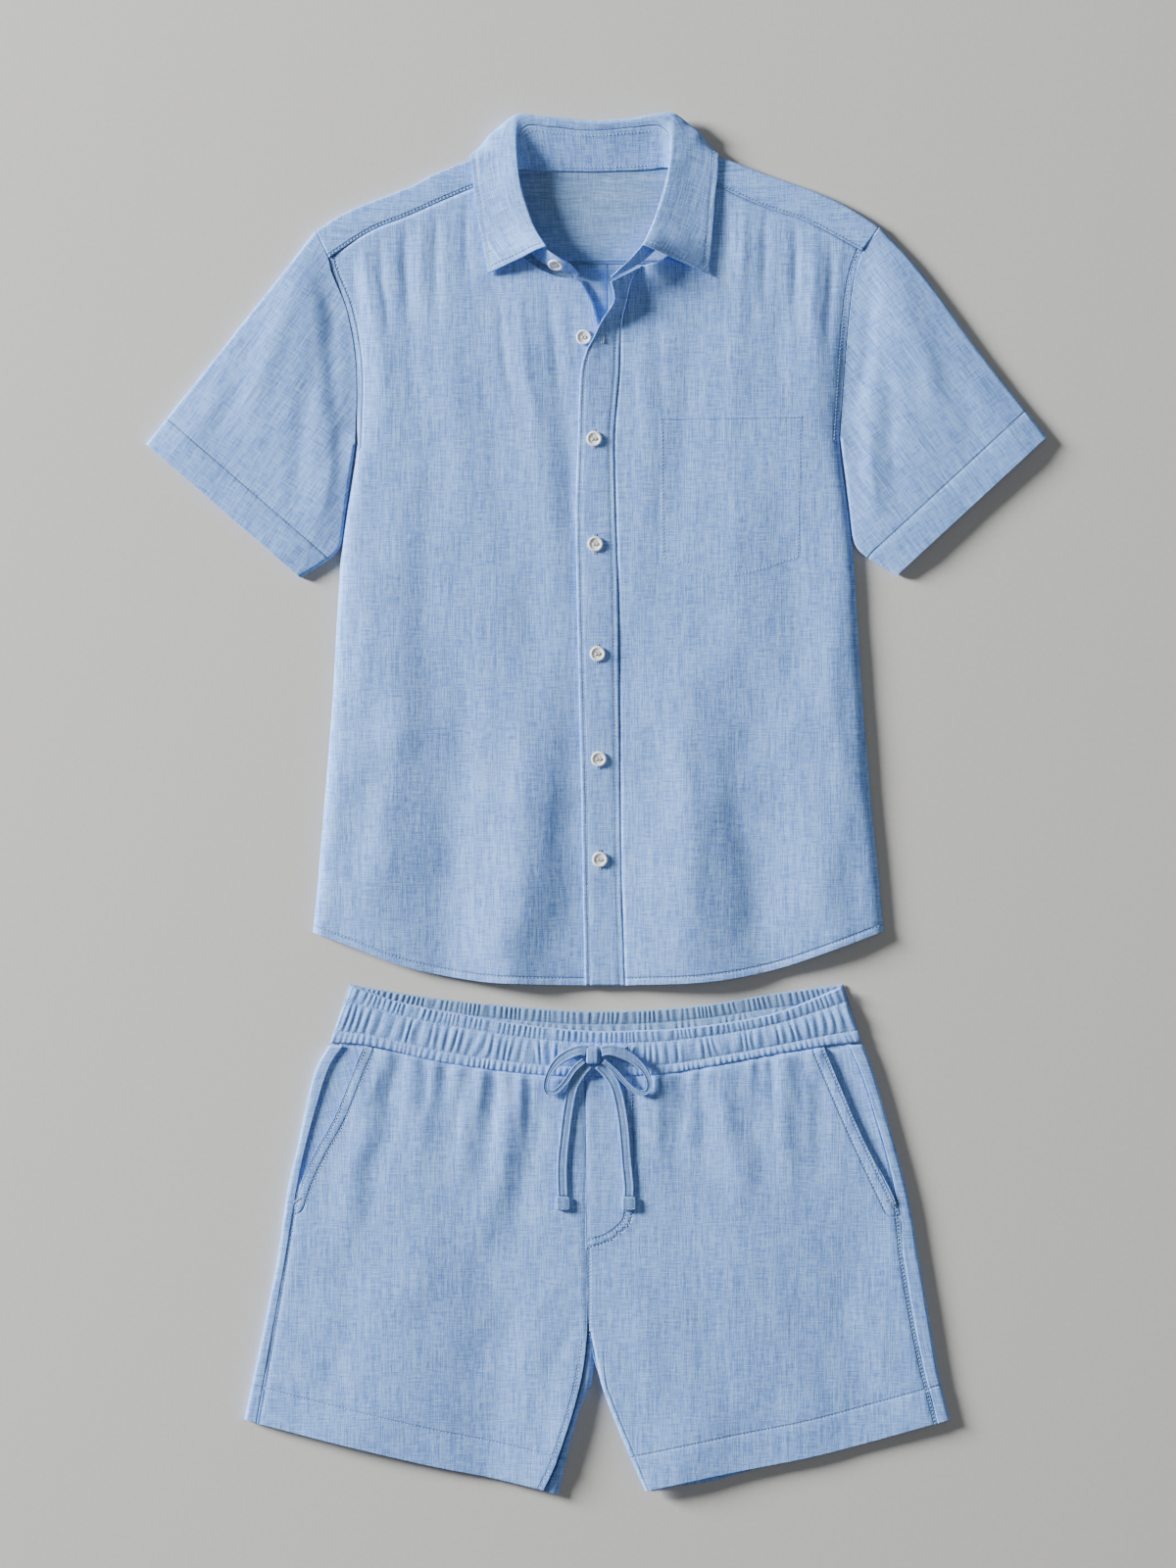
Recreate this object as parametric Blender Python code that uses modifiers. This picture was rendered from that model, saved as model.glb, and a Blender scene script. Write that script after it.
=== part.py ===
# Short-sleeved linen shirt and drawstring shorts, laid flat as a set.
# Millimetres in the tables and in every function; MM turns them to metres.
# +X runs to the viewer's right, +Y towards the collar, and the cloth rests on Z = 0.
import bpy
import bmesh
import math
from mathutils import Vector

MM = 0.001
CLOTH = 1.2            # wall of one layer of linen
DOUBLE = 1.6           # wall of an interlined or folded strip
SEAM = 0.35            # gap between pieces where they are sewn
LOFT = 5.2             # height of the upper layer's face above the surface
EDGE = 3.5             # radius with which the upper layer turns down at a side
FOLD = 0.9             # height of the soft folds in the upper layers
TURNED = [0.0, 0.35, 1.2, EDGE]      # columns where a side turns down
PLAIN = [0.0]                        # columns at an edge that stays level
STEPPED = [0.0, 14.0, 36.0, 52.0]    # columns where one front passes under the placket

CROTCH_Y = -459        # where the legs part
BUTTON_R = 6.6
BUTTON_T = 2.4
TAPE_W = 9.4           # drawstring, a flat tape
TAPE_T = 2.2
TIP = (12.0, 12.0, 2.8)              # folded end of the tape
TIP_GAP = 0.4
KNOT_SIZE = (9.5, 14.5, 8.0)

WAIST_WAVES = 72       # gathers across each half of the waistband
WAIST_WALL = 2.2
WAIST_LENGTH = 440     # half of the waist, along the band
FRONT_BAND_Z = 4.0     # the front band lies over the back one
WAVE = 1.3             # height of a gather
FACING = 1.0           # wall of the pocket layer behind the slanted mouth
FACING_DROP = 2.6      # how far it lies under the front's face
PLACKET_RISE = 0.9     # the placket's face stands this much over the fronts
STAND_SAG = 1.15       # the left front drops this much under the placket
SETTLE = 20.0          # folds die out this far from a side seam

# Shirt outline, right and left as the viewer sees them.
SHOULDER_L = [(-109, 558), (-143, 545), (-160, 536), (-217, 513), (-243, 497)]
SHOULDER_R = [(105, 561), (146, 546), (191, 530), (220, 516), (245, 500)]
YOKE_SEAM_L = [(-232, 473), (-196, 496), (-162, 510), (-135, 522), (-90, 541)]
YOKE_SEAM_R = [(231, 479), (220, 485), (186, 503), (146, 517), (88, 543)]
ARMHOLE_L = [(-232, 473), (-229, 461), (-216, 428), (-208, 378), (-209, 310)]
ARMHOLE_R = [(231, 479), (223, 454), (217, 402), (213, 347), (211, 316)]
SIDE_L = [(-209, 310), (-221, 221), (-229, 90), (-237, -11), (-241, -59), (-246, -111)]
SIDE_R = [(211, 316), (222, 225), (231, 90), (238, 6), (245, -63), (249, -110)]
HEM_L = [(-246, -111), (-216, -122), (-165, -141), (-105, -153), (-58, -156), (-10, -157)]
HEM_R = [(25, -157), (95, -154), (152, -144), (209, -125), (249, -110)]
NECK_L = [(-90, 541), (-83, 505), (-70, 480), (-50, 464), (-30, 456), (-14, 454)]
NECK_R = [(88, 543), (82, 505), (70, 482), (53, 470), (40, 466)]
EDGE_L = [(-14, 454), (-6, 442), (-1, 430), (5, 405), (12, 320), (14, 100), (18, -157)]
EDGE_R = [(40, 466), (31, 455), (26, 435), (22, 417), (20, 372), (16, 320), (17, 255), (19, 187),
          (20, 96), (21, 17), (22, -63), (25, -157)]
PLACKET_FREE = [(12, 450), (15, 440), (15, 433), (3, 415), (-3, 403), (-10, 390), (-14, 372),
                (-16, 320), (-18, 255), (-17, 187), (-15, 90), (-13, 6), (-12, -58), (-10, -157)]
PLACKET_LIFT = [(450, 15), (435, 13), (415, 6), (390, 2.5), (350, 0.8), (300, 0), (-157, 0)]

SLEEVE_L = {"outer": [(-243, 497), (-307, 416), (-390, 312)],
            "under": [(-209, 310), (-213, 282), (-218, 246), (-221.5, 223), (-230, 213), (-256, 196)],
            "hem": [(-390, 312), (-256, 196)],
            "armhole": [(-243, 497), (-232, 473), (-229, 461), (-216, 428), (-208, 378), (-209, 310)]}
SLEEVE_R = {"outer": [(245, 500), (280, 462), (333, 390), (390, 318)],
            "under": [(211, 316), (215, 283), (219, 249), (222.5, 227), (231, 216), (260, 198)],
            "hem": [(390, 318), (260, 198)],
            "armhole": [(245, 500), (231, 479), (223, 454), (217, 402), (213, 347), (211, 316)]}

BACK_YOKE_Y = 468      # seam between the back and the yoke
YOKE_TAPER = 0.93      # the yoke's lower edge is narrower than its shoulders
PLEAT_LEFT = -20       # box pleat at the centre of the back
PLEAT_RIGHT = 10
PLEAT_RISE = 1.3

# Collar stand: its seam on the neckline and its upper edge, from the left front end to the right one.
STAND = [
    # seam x, seam y, seam z, top x, top y, top z
    (-16, 456, 6.6, -15, 459, 9.0), (-25, 460, 6.6, -22, 466, 15.0), (-36, 464, 6.6, -33, 472, 20.0),
    (-50, 471, 6.6, -43, 479, 21.5), (-62, 485, 6.8, -53, 497, 22.0), (-72, 507, 7.0, -62, 524, 21.0),
    (-75, 532, 7.0, -67, 545, 20.0), (-71, 548, 5.5, -68, 558, 19.0), (-63, 550, 4.0, -67, 577, 17.5),
    (-52, 549, 3.2, -59, 586, 16.0), (-36, 548.5, 3.0, -40, 585, 14.5), (-4, 548, 3.0, -3, 582, 13.5),
    (30, 549, 3.0, 34, 585, 14.5), (48, 550, 3.2, 55, 586, 16.0), (58, 551.5, 4.0, 63, 578, 17.5),
    (66, 549, 5.5, 64, 560, 19.0), (70, 532, 7.0, 60, 541, 20.0), (67, 507, 7.0, 52, 512, 21.5),
    (58, 488, 7.0, 45, 494, 23.5), (48, 477, 7.2, 38.5, 481, 24.5), (39.5, 470, 8.0, 32, 473, 25.0),
    (32, 464.8, 10.5, 26, 466.5, 25.0), (25, 460.8, 13.5, 19.5, 461, 24.5), (18.5, 457, 17.5, 15.5, 457, 23.5),
    (13, 454, 20.5, 12.8, 455.2, 22.5)]

# Collar leaf: crest of the roll, the fall, its middle and its outer edge.
LEAF = [
    # crest x, y, z, fall x, y, z, middle x, y, z, outer x, y, z
    (-43, 480.5, 25.0, -51, 478, 23.0, -66, 471, 15.5, -94, 459, 8.2),
    (-53, 498.5, 25.5, -60, 496, 23.5, -75, 489, 15.5, -98, 480, 8.2),
    (-63, 525, 24.5, -70, 523, 22.5, -84, 517, 15.0, -102, 505, 8.2),
    (-67.5, 550, 23.5, -74, 547, 21.5, -87, 540, 14.5, -106, 530, 8.2),
    (-69, 570, 22.0, -75, 566, 20.0, -88, 557, 13.5, -108, 547, 7.8),
    (-70, 586, 20.5, -76, 583, 18.5, -89, 573, 13.0, -109, 557, 8.0),
    (-70, 594, 19.5, -78, 590, 16.0, -92, 579, 11.0, -110, 562, 6.0),
    (-63, 595, 18.5, -68, 597, 10.5, -80, 588, 2.5, -98, 570, 0.2),
    (-52, 594, 17.0, -54, 596, 9.0, -58, 589, 1.8, -66, 572, 0.2),
    (-36, 592, 16.5, -37, 594.5, 8.5, -38, 589, 1.8, -40, 572, 0.2),
    (-3, 589, 16.0, -3, 592, 8.0, -3, 587, 1.8, -3, 571, 0.2),
    (30, 591, 16.5, 31, 594, 8.5, 32, 589, 1.8, 34, 572, 0.2),
    (48, 595, 17.0, 50, 597, 9.0, 52, 590, 1.8, 60, 573, 0.2),
    (60, 596, 18.5, 65, 598, 10.5, 76, 590, 2.5, 93, 572, 0.2),
    (67, 596, 19.5, 74, 592, 16.0, 88, 581, 11.0, 105, 564, 6.0),
    (66, 588, 20.5, 72, 585, 18.5, 85, 574, 13.0, 105, 558, 8.0),
    (64.5, 570, 22.0, 71, 566, 20.0, 84, 558, 13.5, 105, 547, 7.8),
    (62.5, 552, 23.5, 69, 548, 21.5, 83, 540, 14.5, 103, 530, 8.2),
    (58, 528, 25.0, 65, 524, 23.0, 81, 516, 15.5, 101, 505, 8.2),
    (49.5, 504, 26.5, 57, 500, 24.5, 74, 490, 15.5, 99, 480, 8.2),
    (40, 482, 27.5, 48, 479, 25.0, 67, 471, 16.0, 97, 458, 8.2)]
LEAF_GAP = 1.6         # from the stand's upper edge to the start of the leaf

POCKET = {"top": [(55, 334), (178, 336)], "bottom": [(56, 213), (116, 197), (176, 213)],
          "left": [(55, 334), (56, 213)], "right": [(178, 336), (176, 213)]}
BUTTONS = [(-11, 404), (-2, 316), (-1, 225), (1, 130), (2, 39), (3, -48)]
STAND_BUTTON = (-35.3, 466.2, 14.7)

# Shorts outline and seams.
OUTER_L = [(-232, -209), (-243, -229), (-252, -263), (-259, -297), (-267, -331), (-276, -391), (-284, -433),
           (-291, -467), (-305, -533)]
OUTER_R = [(231, -208), (239, -229), (254, -280), (266, -323), (273, -355), (279, -391), (289, -450),
           (297, -496), (306, -533)]
SIDE_SEAM_L = [(-219, -206), (-230, -221), (-243, -259), (-254, -300), (-262, -346), (-269, -391), (-283, -473),
               (-294, -536)]
SIDE_SEAM_R = [(219, -206), (232, -238), (252, -305), (261, -350), (265, -391), (280, -476), (295, -536)]
MOUTH_L = [(-202, -211), (-211, -232), (-227, -271), (-242, -298), (-254, -323), (-262, -346)]
MOUTH_R = [(197, -212), (228, -284), (258, -348)]
LEG_HEM_L = [(-305, -533), (-290, -537), (-231, -552), (-148, -572), (-89, -584), (-33, -598)]
LEG_HEM_R = [(306, -533), (293, -537), (196, -563), (111, -580), (41, -595)]
INNER_L = [(-1, -459), (-4, -500), (-15, -527), (-26, -567), (-33, -598)]
INNER_R = [(1, -454), (4, -500), (11, -521), (27, -560), (41, -595)]
INSEAM_L = [(-8, -459), (-15, -506), (-35, -570), (-46, -594)]
WAIST_FRONT_TOP = [(-212, -157), (-170, -171), (-120, -181), (-52, -192), (-7, -196), (28, -196), (82, -193),
                   (153, -181), (212, -158)]
WAIST_FRONT_LOW = [(-231, -207), (-199, -209), (-132, -224), (-56, -234), (0, -236), (56, -234), (100, -227),
                   (153, -217), (195, -210), (230, -206)]
WAIST_BACK_TOP = [(-214, -156), (-153, -166), (-94, -173), (-35, -178), (0, -179), (46, -178), (100, -173),
                  (153, -164), (214, -156)]
WAIST_BACK_LOW = [(-231, -207), (-153, -211), (-94, -217), (-35, -222), (0, -223), (46, -222), (100, -217),
                  (153, -211), (230, -206)]

# Drawstring: each stretch is a list of (x, y, height over the cloth).
KNOT = (-3, -217)
LEADS = {"left": [(-30, -213, 0.2), (-24, -214, 0.8), (-16, -215.5, 1.6), (-9.5, -216.5, 2.2)],
         "right": [(27, -214, 0.2), (20, -215, 0.8), (11, -216, 1.6), (4, -216.5, 2.2)]}
LOOPS = {"left": [(-8.5, -211.5, 6.0), (-14, -210.5, 6.2), (-24, -214, 5.6), (-35, -221, 4.8), (-43, -232, 4.2),
                  (-47.5, -243, 3.6), (-45, -251, 3.2), (-37, -251, 3.0), (-28, -242, 3.2), (-19, -229, 4.0),
                  (-11.5, -221.5, 5.0)],
         "right": [(4, -211.5, 6.0), (12, -210.5, 6.2), (24, -214, 5.6), (34, -220, 4.8), (43, -231, 4.2),
                   (47, -243, 3.6), (44, -251, 3.2), (36, -251, 3.0), (26, -243, 3.2), (16, -231, 4.0),
                   (7, -222, 5.0)]}
TAILS = {"left": [(-7, -225, 2.0), (-13, -232, 1.0), (-20, -244, 0.5), (-24, -262, 0.3), (-27, -285, 0.3),
                  (-29.5, -310, 0.3), (-29.5, -330, 0.3), (-29, -339, 0.3)],
         "right": [(2, -225, 2.0), (9, -232, 1.0), (16, -243, 0.5), (21, -262, 0.3), (24, -285, 0.3),
                   (26, -310, 0.3), (28, -330, 0.3), (28, -339, 0.3)]}

LINEN = (0.34, 0.47, 0.66)
LINEN_DARK = (0.29, 0.41, 0.60)
SHELL = (0.80, 0.78, 0.73)


def clear_scene():
    for item in list(bpy.data.objects):
        bpy.data.objects.remove(item, do_unlink=True)
    for group in list(bpy.data.collections):
        bpy.data.collections.remove(group)


def material(name, colour, roughness):
    made = bpy.data.materials.new(name)
    made.use_nodes = True
    shader = made.node_tree.nodes["Principled BSDF"]
    shader.inputs["Base Color"].default_value = (*colour, 1.0)
    shader.inputs["Roughness"].default_value = roughness
    shader.inputs["Metallic"].default_value = 0.0
    return made


def add_object(name, mesh, colour=LINEN, roughness=0.85):
    obj = bpy.data.objects.new(name, mesh)
    obj.data.materials.append(material(name, colour, roughness))
    GROUP.objects.link(obj)
    return obj


def spline(points, t):
    """Point at t, from 0 to 1 by length, on a smooth curve through the points."""
    pts = [Vector(p) for p in points]
    steps = [(b - a).length for a, b in zip(pts, pts[1:])]
    reach = t * sum(steps)
    index = 0
    while index < len(steps) - 1 and reach > steps[index]:
        reach -= steps[index]
        index += 1
    s = min(1.0, max(0.0, reach / steps[index]))
    p1, p2 = pts[index], pts[index + 1]
    p0 = pts[index - 1] if index else p1 * 2 - p2
    p3 = pts[index + 2] if index + 2 < len(pts) else p2 * 2 - p1
    d1 = (p2 - p0) * (steps[index] / ((p2 - p1).length + (p1 - p0).length))
    d2 = (p3 - p1) * (steps[index] / ((p3 - p2).length + (p2 - p1).length))
    s2, s3 = s * s, s * s * s
    return (p1 * (2 * s3 - 3 * s2 + 1) + d1 * (s3 - 2 * s2 + s) + p2 * (3 * s2 - 2 * s3) + d2 * (s3 - s2))


def value_at(table, key):
    """Second column of a two-column table whose first column falls, read at key."""
    for (k0, v0), (k1, v1) in zip(table, table[1:]):
        if key >= k1:
            return v0 + (v1 - v0) * min(1.0, max(0.0, (k0 - key) / (k0 - k1)))
    return table[-1][1]


def patch(top, bottom, left, right):
    """Plan of a cut piece between four edge curves: a function of u across and v down."""
    c00, c10 = Vector(top[0]), Vector(top[-1])
    c01, c11 = Vector(bottom[0]), Vector(bottom[-1])

    def plan(u, v):
        across = spline(top, u) * (1 - v) + spline(bottom, u) * v
        down = spline(left, v) * (1 - u) + spline(right, v) * u
        corners = (c00 * (1 - u) + c10 * u) * (1 - v) + (c01 * (1 - u) + c11 * u) * v
        return across + down - corners
    return plan


def steps_between(count, first=0.0, last=1.0):
    return [first + (last - first) * i / count for i in range(count + 1)]


def grid_mesh(name, rows, keep=None, closed=False):
    """Open sheet from rows of points; closed joins each row's ends into a ring."""
    bm = bmesh.new()
    verts = [[bm.verts.new(Vector(p) * MM) for p in row] for row in rows]
    for j in range(len(rows) - 1):
        count = len(rows[j])
        for i in range(count if closed else count - 1):
            if keep and not keep(i, j):
                continue
            k = (i + 1) % count
            bm.faces.new((verts[j][i], verts[j + 1][i], verts[j + 1][k], verts[j][k]))
    loose = [v for v in bm.verts if not v.link_faces]
    bmesh.ops.delete(bm, geom=loose, context="VERTS")
    mesh = bpy.data.meshes.new(name)
    bm.to_mesh(mesh)
    bm.free()
    return mesh


def cloth(name, rows, wall=CLOTH, keep=None, closed=False, colour=LINEN, flip=False):
    """A sheet with its outer face on the rows' points and the wall behind it."""
    mesh = grid_mesh(name, rows, keep, closed)
    if flip:
        mesh.flip_normals()
    obj = add_object(name, mesh, colour)
    solid = obj.modifiers.new("wall", "SOLIDIFY")
    solid.thickness = wall * MM
    solid.offset = -1.0
    solid.use_even_offset = True
    obj.data.shade_smooth()
    return obj


def nearest(curve, point):
    """Closest of the curve's points to a point."""
    return min(curve, key=lambda p: (p - point).length)


def turned_edge(distance, top, radius=EDGE):
    """Height of a layer that turns down over a side, at this distance in from it."""
    if distance >= radius:
        return top
    return top - radius + math.sqrt(max(0.0, radius ** 2 - (radius - distance) ** 2))


def fold(x, y, centre, tilt, width, start, end):
    """One soft fold running down the cloth: its height at a point, from 0 to 1."""
    along = (start - y) / (start - end)
    if along <= 0.0 or along >= 1.0:
        return 0.0
    across = (x - centre - tilt * (start - y)) / width
    return math.exp(-across * across) * math.sin(math.pi * along)


# Folds of the shirt front: centre x, tilt, width, upper end y, lower end y, height.
SHIRT_FOLDS = [
    (-215, 0.02, 9, 470, 330, -0.8), (-190, 0.03, 9, 485, 300, 0.9), (-165, 0.05, 8, 495, 330, -0.8),
    (-138, 0.10, 10, 500, 210, 0.8), (-105, 0.12, 12, 470, 160, -0.7), (-60, 0.10, 12, 450, 120, 0.9),
    (-36, 0.08, 9, 440, 200, -0.7), (60, -0.10, 11, 450, 160, 0.8), (95, -0.12, 11, 480, 180, -0.8),
    (130, -0.08, 10, 505, 240, 0.8), (160, -0.02, 8, 500, 330, -0.7), (190, 0.0, 9, 490, 330, 0.8),
    (-160, -0.12, 18, 160, -140, 0.9), (-110, -0.10, 16, 120, -150, -0.8), (-60, 0.02, 18, 90, -150, 0.8),
    (70, 0.05, 16, 110, -150, 0.8), (110, 0.15, 16, 100, -150, -0.8), (160, 0.14, 18, 150, -140, 0.9)]


def shirt_folds(x, y):
    return sum(h * fold(x, y, c, t, w, a, b) for c, t, w, a, b, h in SHIRT_FOLDS) * FOLD


def pleat(x, y):
    """Box pleat down the back: a raised band that dies out above the hem."""
    rise = max(0.0, min(1.0, (y + 60) / 300)) * PLEAT_RISE
    inside = min(x - PLEAT_LEFT, PLEAT_RIGHT - x)
    return rise * max(0.0, min(1.0, inside / 2.0 + 0.5))


def edge_columns(count, width, near, far):
    """Fractions across a piece, with closer columns at these distances from each edge."""
    left = [d / width for d in near]
    right = [1 - d / width for d in reversed(far)]
    inner = steps_between(count, left[-1], right[0])[1:-1]
    return left + inner + right


def shirt_back():
    top = [(-224, BACK_YOKE_Y - SEAM), (-2, BACK_YOKE_Y - SEAM), (222, BACK_YOKE_Y - SEAM)]
    left = [top[0], (-211, 428), (-203, 378), (-204, 310), (-216, 221), (-226, 90), (-235, -11), (-244, -111)]
    right = [top[-1], (211, 402), (207, 347), (206, 316), (217, 225), (228, 90), (236, 6), (247, -110)]
    bottom = [(-244, -111), (-165, -140), (-58, -155), (30, -155), (152, -143), (247, -110)]
    plan = patch(top, bottom, left, right)
    rows = []
    for v in steps_between(12):
        edges = [PLEAT_LEFT - 1, PLEAT_LEFT + 1, PLEAT_RIGHT - 1, PLEAT_RIGHT + 1]
        ends = plan(0, v), plan(1, v)
        spread = ends[1].x - ends[0].x
        marks = [(x - ends[0].x) / spread for x in edges]
        across = steps_between(4, 0, marks[0])[:-1] + marks + steps_between(4, marks[-1], 1)[1:]
        points = [plan(u, v) for u in across]
        rows.append([(p.x, p.y, CLOTH + pleat(p.x, p.y)) for p in points])
    cloth("shirt_back", rows, colour=LINEN_DARK)


def front_height(x, y):
    return LOFT + shirt_folds(x, y)


def shirt_front(name, plan, outer, under=None):
    rows = []
    for v in steps_between(18):
        width = (plan(0, v) - plan(1, v)).length
        row = []
        near, far = (TURNED, STEPPED) if outer == "left" else (PLAIN, TURNED)
        for u in edge_columns(8, width, near, far):
            p = plan(u, v)
            side = u if outer == "left" else 1 - u
            settle = min(1.0, side * width / SETTLE)
            height = LOFT + shirt_folds(p.x, p.y) * settle - (under(p.x, p.y) if under else 0.0)
            row.append((p.x, p.y, turned_edge(side * width, height)))
        rows.append(row)
    return cloth(name, rows)


def button_stand_sag(x, y):
    """The left front drops a little where the placket lies over it."""
    lies_under = max(0.0, min(1.0, (x + 38) / 16)) * max(0.0, min(1.0, (415 - y) / 40))
    return STAND_SAG * lies_under


def front_plan_left():
    top = [(x, y - 2 * SEAM) for x, y in YOKE_SEAM_L]
    top[0] = (top[0][0] + SEAM, top[0][1])
    left = [top[0]] + [(x + SEAM, y) for x, y in ARMHOLE_L[1:-1]] + [(x + 0.1, y) for x, y in SIDE_L]
    return patch(top, [left[-1]] + HEM_L[1:] + [EDGE_L[-1]], left, [top[-1]] + NECK_L[1:] + EDGE_L[1:])


def front_plan_right():
    top = [(x, y - 2 * SEAM) for x, y in reversed(YOKE_SEAM_R)]
    top[-1] = (top[-1][0] - SEAM, top[-1][1])
    right = [top[-1]] + [(x - SEAM, y) for x, y in ARMHOLE_R[1:-1]] + [(x - 0.1, y) for x, y in SIDE_R]
    left = [top[0]] + NECK_R[1:] + EDGE_R[1:]
    return patch(top, [left[-1]] + HEM_R[1:-1] + [right[-1]], left, right)


def placket():
    rows = []
    rise = LOFT + PLACKET_RISE
    for t in steps_between(26):
        free, seam = spline(PLACKET_FREE, t), spline(EDGE_R, t)
        lift = value_at(PLACKET_LIFT, free.y)
        row = []
        for s in (0.0, 0.33, 0.66, 1.0):
            p = free.lerp(seam + Vector((-SEAM, 0.0)), s)
            row.append((p.x, p.y, rise + shirt_folds(p.x, p.y) + lift * (1 - s) ** 1.3))
        rows.append(row)
    cloth("front_placket", rows, DOUBLE)


def shirt_yoke():
    """Back yoke flat on the surface, turning over both shoulders to the front seams."""
    shoulder = [*reversed(SHOULDER_L), (-80, 562)]
    across = [spline(shoulder, t) for t in steps_between(8)]
    neck = [(-66, 552.5), (-50, 549), (-28, 547.6), (-3, 547.2), (24, 547.8), (46, 549), (61, 552.5)]
    shoulder_r = [(77, 564), *SHOULDER_R]
    across_r = [spline(shoulder_r, t) for t in steps_between(8)]
    across[0] += Vector((1.2, 0.0))
    across_r[-1] -= Vector((2.0, 0.0))
    fold_line = across + [Vector(p) for p in neck] + across_r
    flap_l, flap_r = len(across) - 1, len(across) + len(neck)
    low = [Vector((p.x * YOKE_TAPER, BACK_YOKE_Y)) for p in fold_line]
    seam_l = [spline(YOKE_SEAM_L, t) for t in steps_between(8)]
    seam_r = [spline(list(reversed(YOKE_SEAM_R)), t) for t in steps_between(8)]
    seam_l[0] += Vector((1.0, 0.0))
    seam_r[-1] -= Vector((1.0, 0.0))
    seam = seam_l + [Vector(p) for p in neck] + seam_r
    turn = [(3.0, 0.0), (0.9, 0.7), (0.0, LOFT / 2), (0.9, LOFT - 0.7), (3.0, LOFT)]
    rows = []
    for s in (0.0, 0.5):
        rows.append([(*low[i].lerp(fold_line[i], s), 0.0) for i in range(len(fold_line))])
    for inset, z in turn:
        row = []
        for i, p in enumerate(fold_line):
            in_neck = flap_l < i < flap_r
            row.append((p.x, p.y - (3.0 if in_neck and z == 0.0 else inset), 0.0 if in_neck else z))
        rows.append(row)
    for s in (0.5, 1.0):
        rows.append([(*(p - Vector((0, 3.0))).lerp(q, s), LOFT) for p, q in zip(fold_line, seam)])
    for i in range(flap_l + 1, flap_r):
        p = fold_line[i]
        rows[2][i] = (p.x, p.y, 0.0)
    cloth("shirt_yoke", rows, keep=lambda i, j: j < 2 or i < flap_l or i >= flap_r)


def sleeve(name, cut):
    """Flattened open tube: rings from the armhole to the hem."""
    left, right = cut["outer"], cut["under"]
    plan = patch(cut["armhole"], cut["hem"], left, right)
    shift = 2 * SEAM if right[0][0] > 0 else -2 * SEAM
    rows = []
    for v in steps_between(8):
        width = (plan(0, v) - plan(1, v)).length
        fractions = edge_columns(5, width, TURNED, TURNED)
        ring = []
        for u in fractions:
            p = plan(u, v)
            top = LOFT - 0.1 + 0.5 * FOLD * math.sin(9 * u + 2.2 * v) * math.sin(math.pi * u)
            edge = min(u, 1 - u) * width
            ring.append((p.x + shift, p.y, LOFT / 2 + turned_edge(edge, top - LOFT / 2, LOFT / 2)
                         if edge < LOFT / 2 else top))
        for u in reversed(fractions[1:-1]):
            p = plan(u, v)
            edge = min(u, 1 - u) * width
            ring.append((p.x + shift, p.y, LOFT / 2 - turned_edge(edge, LOFT / 2, LOFT / 2)))
        rows.append(ring)
    outward = right[0][0] > 0
    cloth(name, rows, closed=True, flip=outward)


def collar_stand():
    seam = [spline([r[0:3] for r in STAND], t) for t in steps_between(44)]
    top = [spline([r[3:6] for r in STAND], t) for t in steps_between(44)]
    rows = [[a.lerp(b, s) for a, b in zip(seam, top)] for s in (0.0, 0.5, 1.0)]
    cloth("collar_stand", rows, DOUBLE, flip=True)


def collar_leaf():
    tops = [spline([r[3:6] for r in STAND], t) for t in steps_between(300)]
    rails = [[r[k:k + 3] for r in LEAF] for k in (0, 3, 6, 9)]
    rows = []
    for t in steps_between(40):
        pts = [spline(rail, t) for rail in rails]
        edge = nearest(tops, pts[0])
        start = edge + (pts[0] - edge).normalized() * LEAF_GAP
        section = [start, *pts]
        section.insert(3, spline([pts[0], pts[1], pts[2]], 0.62))
        section.insert(5, spline([pts[1], pts[2], pts[3]], 0.68))
        rows.append([(p.x, p.y, max(p.z, 0.0)) for p in section])
    cloth("collar_leaf", rows, DOUBLE)


def chest_pocket():
    plan = patch(POCKET["top"], POCKET["bottom"], POCKET["left"], POCKET["right"])
    rows = []
    for v in steps_between(8):
        rows.append([(*plan(u, v), front_height(*plan(u, v)) + CLOTH + 2 * SEAM) for u in steps_between(7)])
    cloth("chest_pocket", rows)


def button(name, x, y, z, tilt=(0.0, 0.0)):
    """Round button with a raised rim, turned from a profile."""
    r, t = BUTTON_R, BUTTON_T
    profile = [(0.0, t * 0.7), (r * 0.66, t * 0.7), (r * 0.8, t), (r, t * 0.8), (r, t * 0.3), (r * 0.8, 0.0),
               (0.0, 0.0)]
    bm = bmesh.new()
    verts = [bm.verts.new((px * MM, 0.0, pz * MM)) for px, pz in profile]
    for a, b in zip(verts, verts[1:]):
        bm.edges.new((a, b))
    mesh = bpy.data.meshes.new(name)
    bm.to_mesh(mesh)
    bm.free()
    obj = add_object(name, mesh, SHELL, 0.35)
    screw = obj.modifiers.new("turn", "SCREW")
    screw.steps = 12
    screw.render_steps = 12
    screw.use_merge_vertices = True
    screw.merge_threshold = 0.00001
    screw.use_normal_calculate = True
    obj.location = (x * MM, y * MM, z * MM)
    obj.rotation_euler = (tilt[0], tilt[1], 0.0)
    return obj


def shorts_height(x, y, waist):
    """Upper face of the shorts: gathers that fade below the waistband, and soft leg folds."""
    drop = max(0.0, waist - y)
    gathers = math.cos(x * math.pi / 11.5) * math.exp(-drop / 55)
    legs = math.sin(x / 23 + y / 90) * math.sin(math.pi * min(1.0, drop / 330))
    return LOFT + 0.8 * gathers * FOLD + 0.5 * legs * FOLD


def waist_low(x):
    """Lower edge of the front waistband at x."""
    for (x0, y0), (x1, y1) in zip(WAIST_FRONT_LOW, WAIST_FRONT_LOW[1:]):
        if x <= x1:
            return y0 + (y1 - y0) * max(0.0, (x - x0) / (x1 - x0))
    return WAIST_FRONT_LOW[-1][1]


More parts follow.
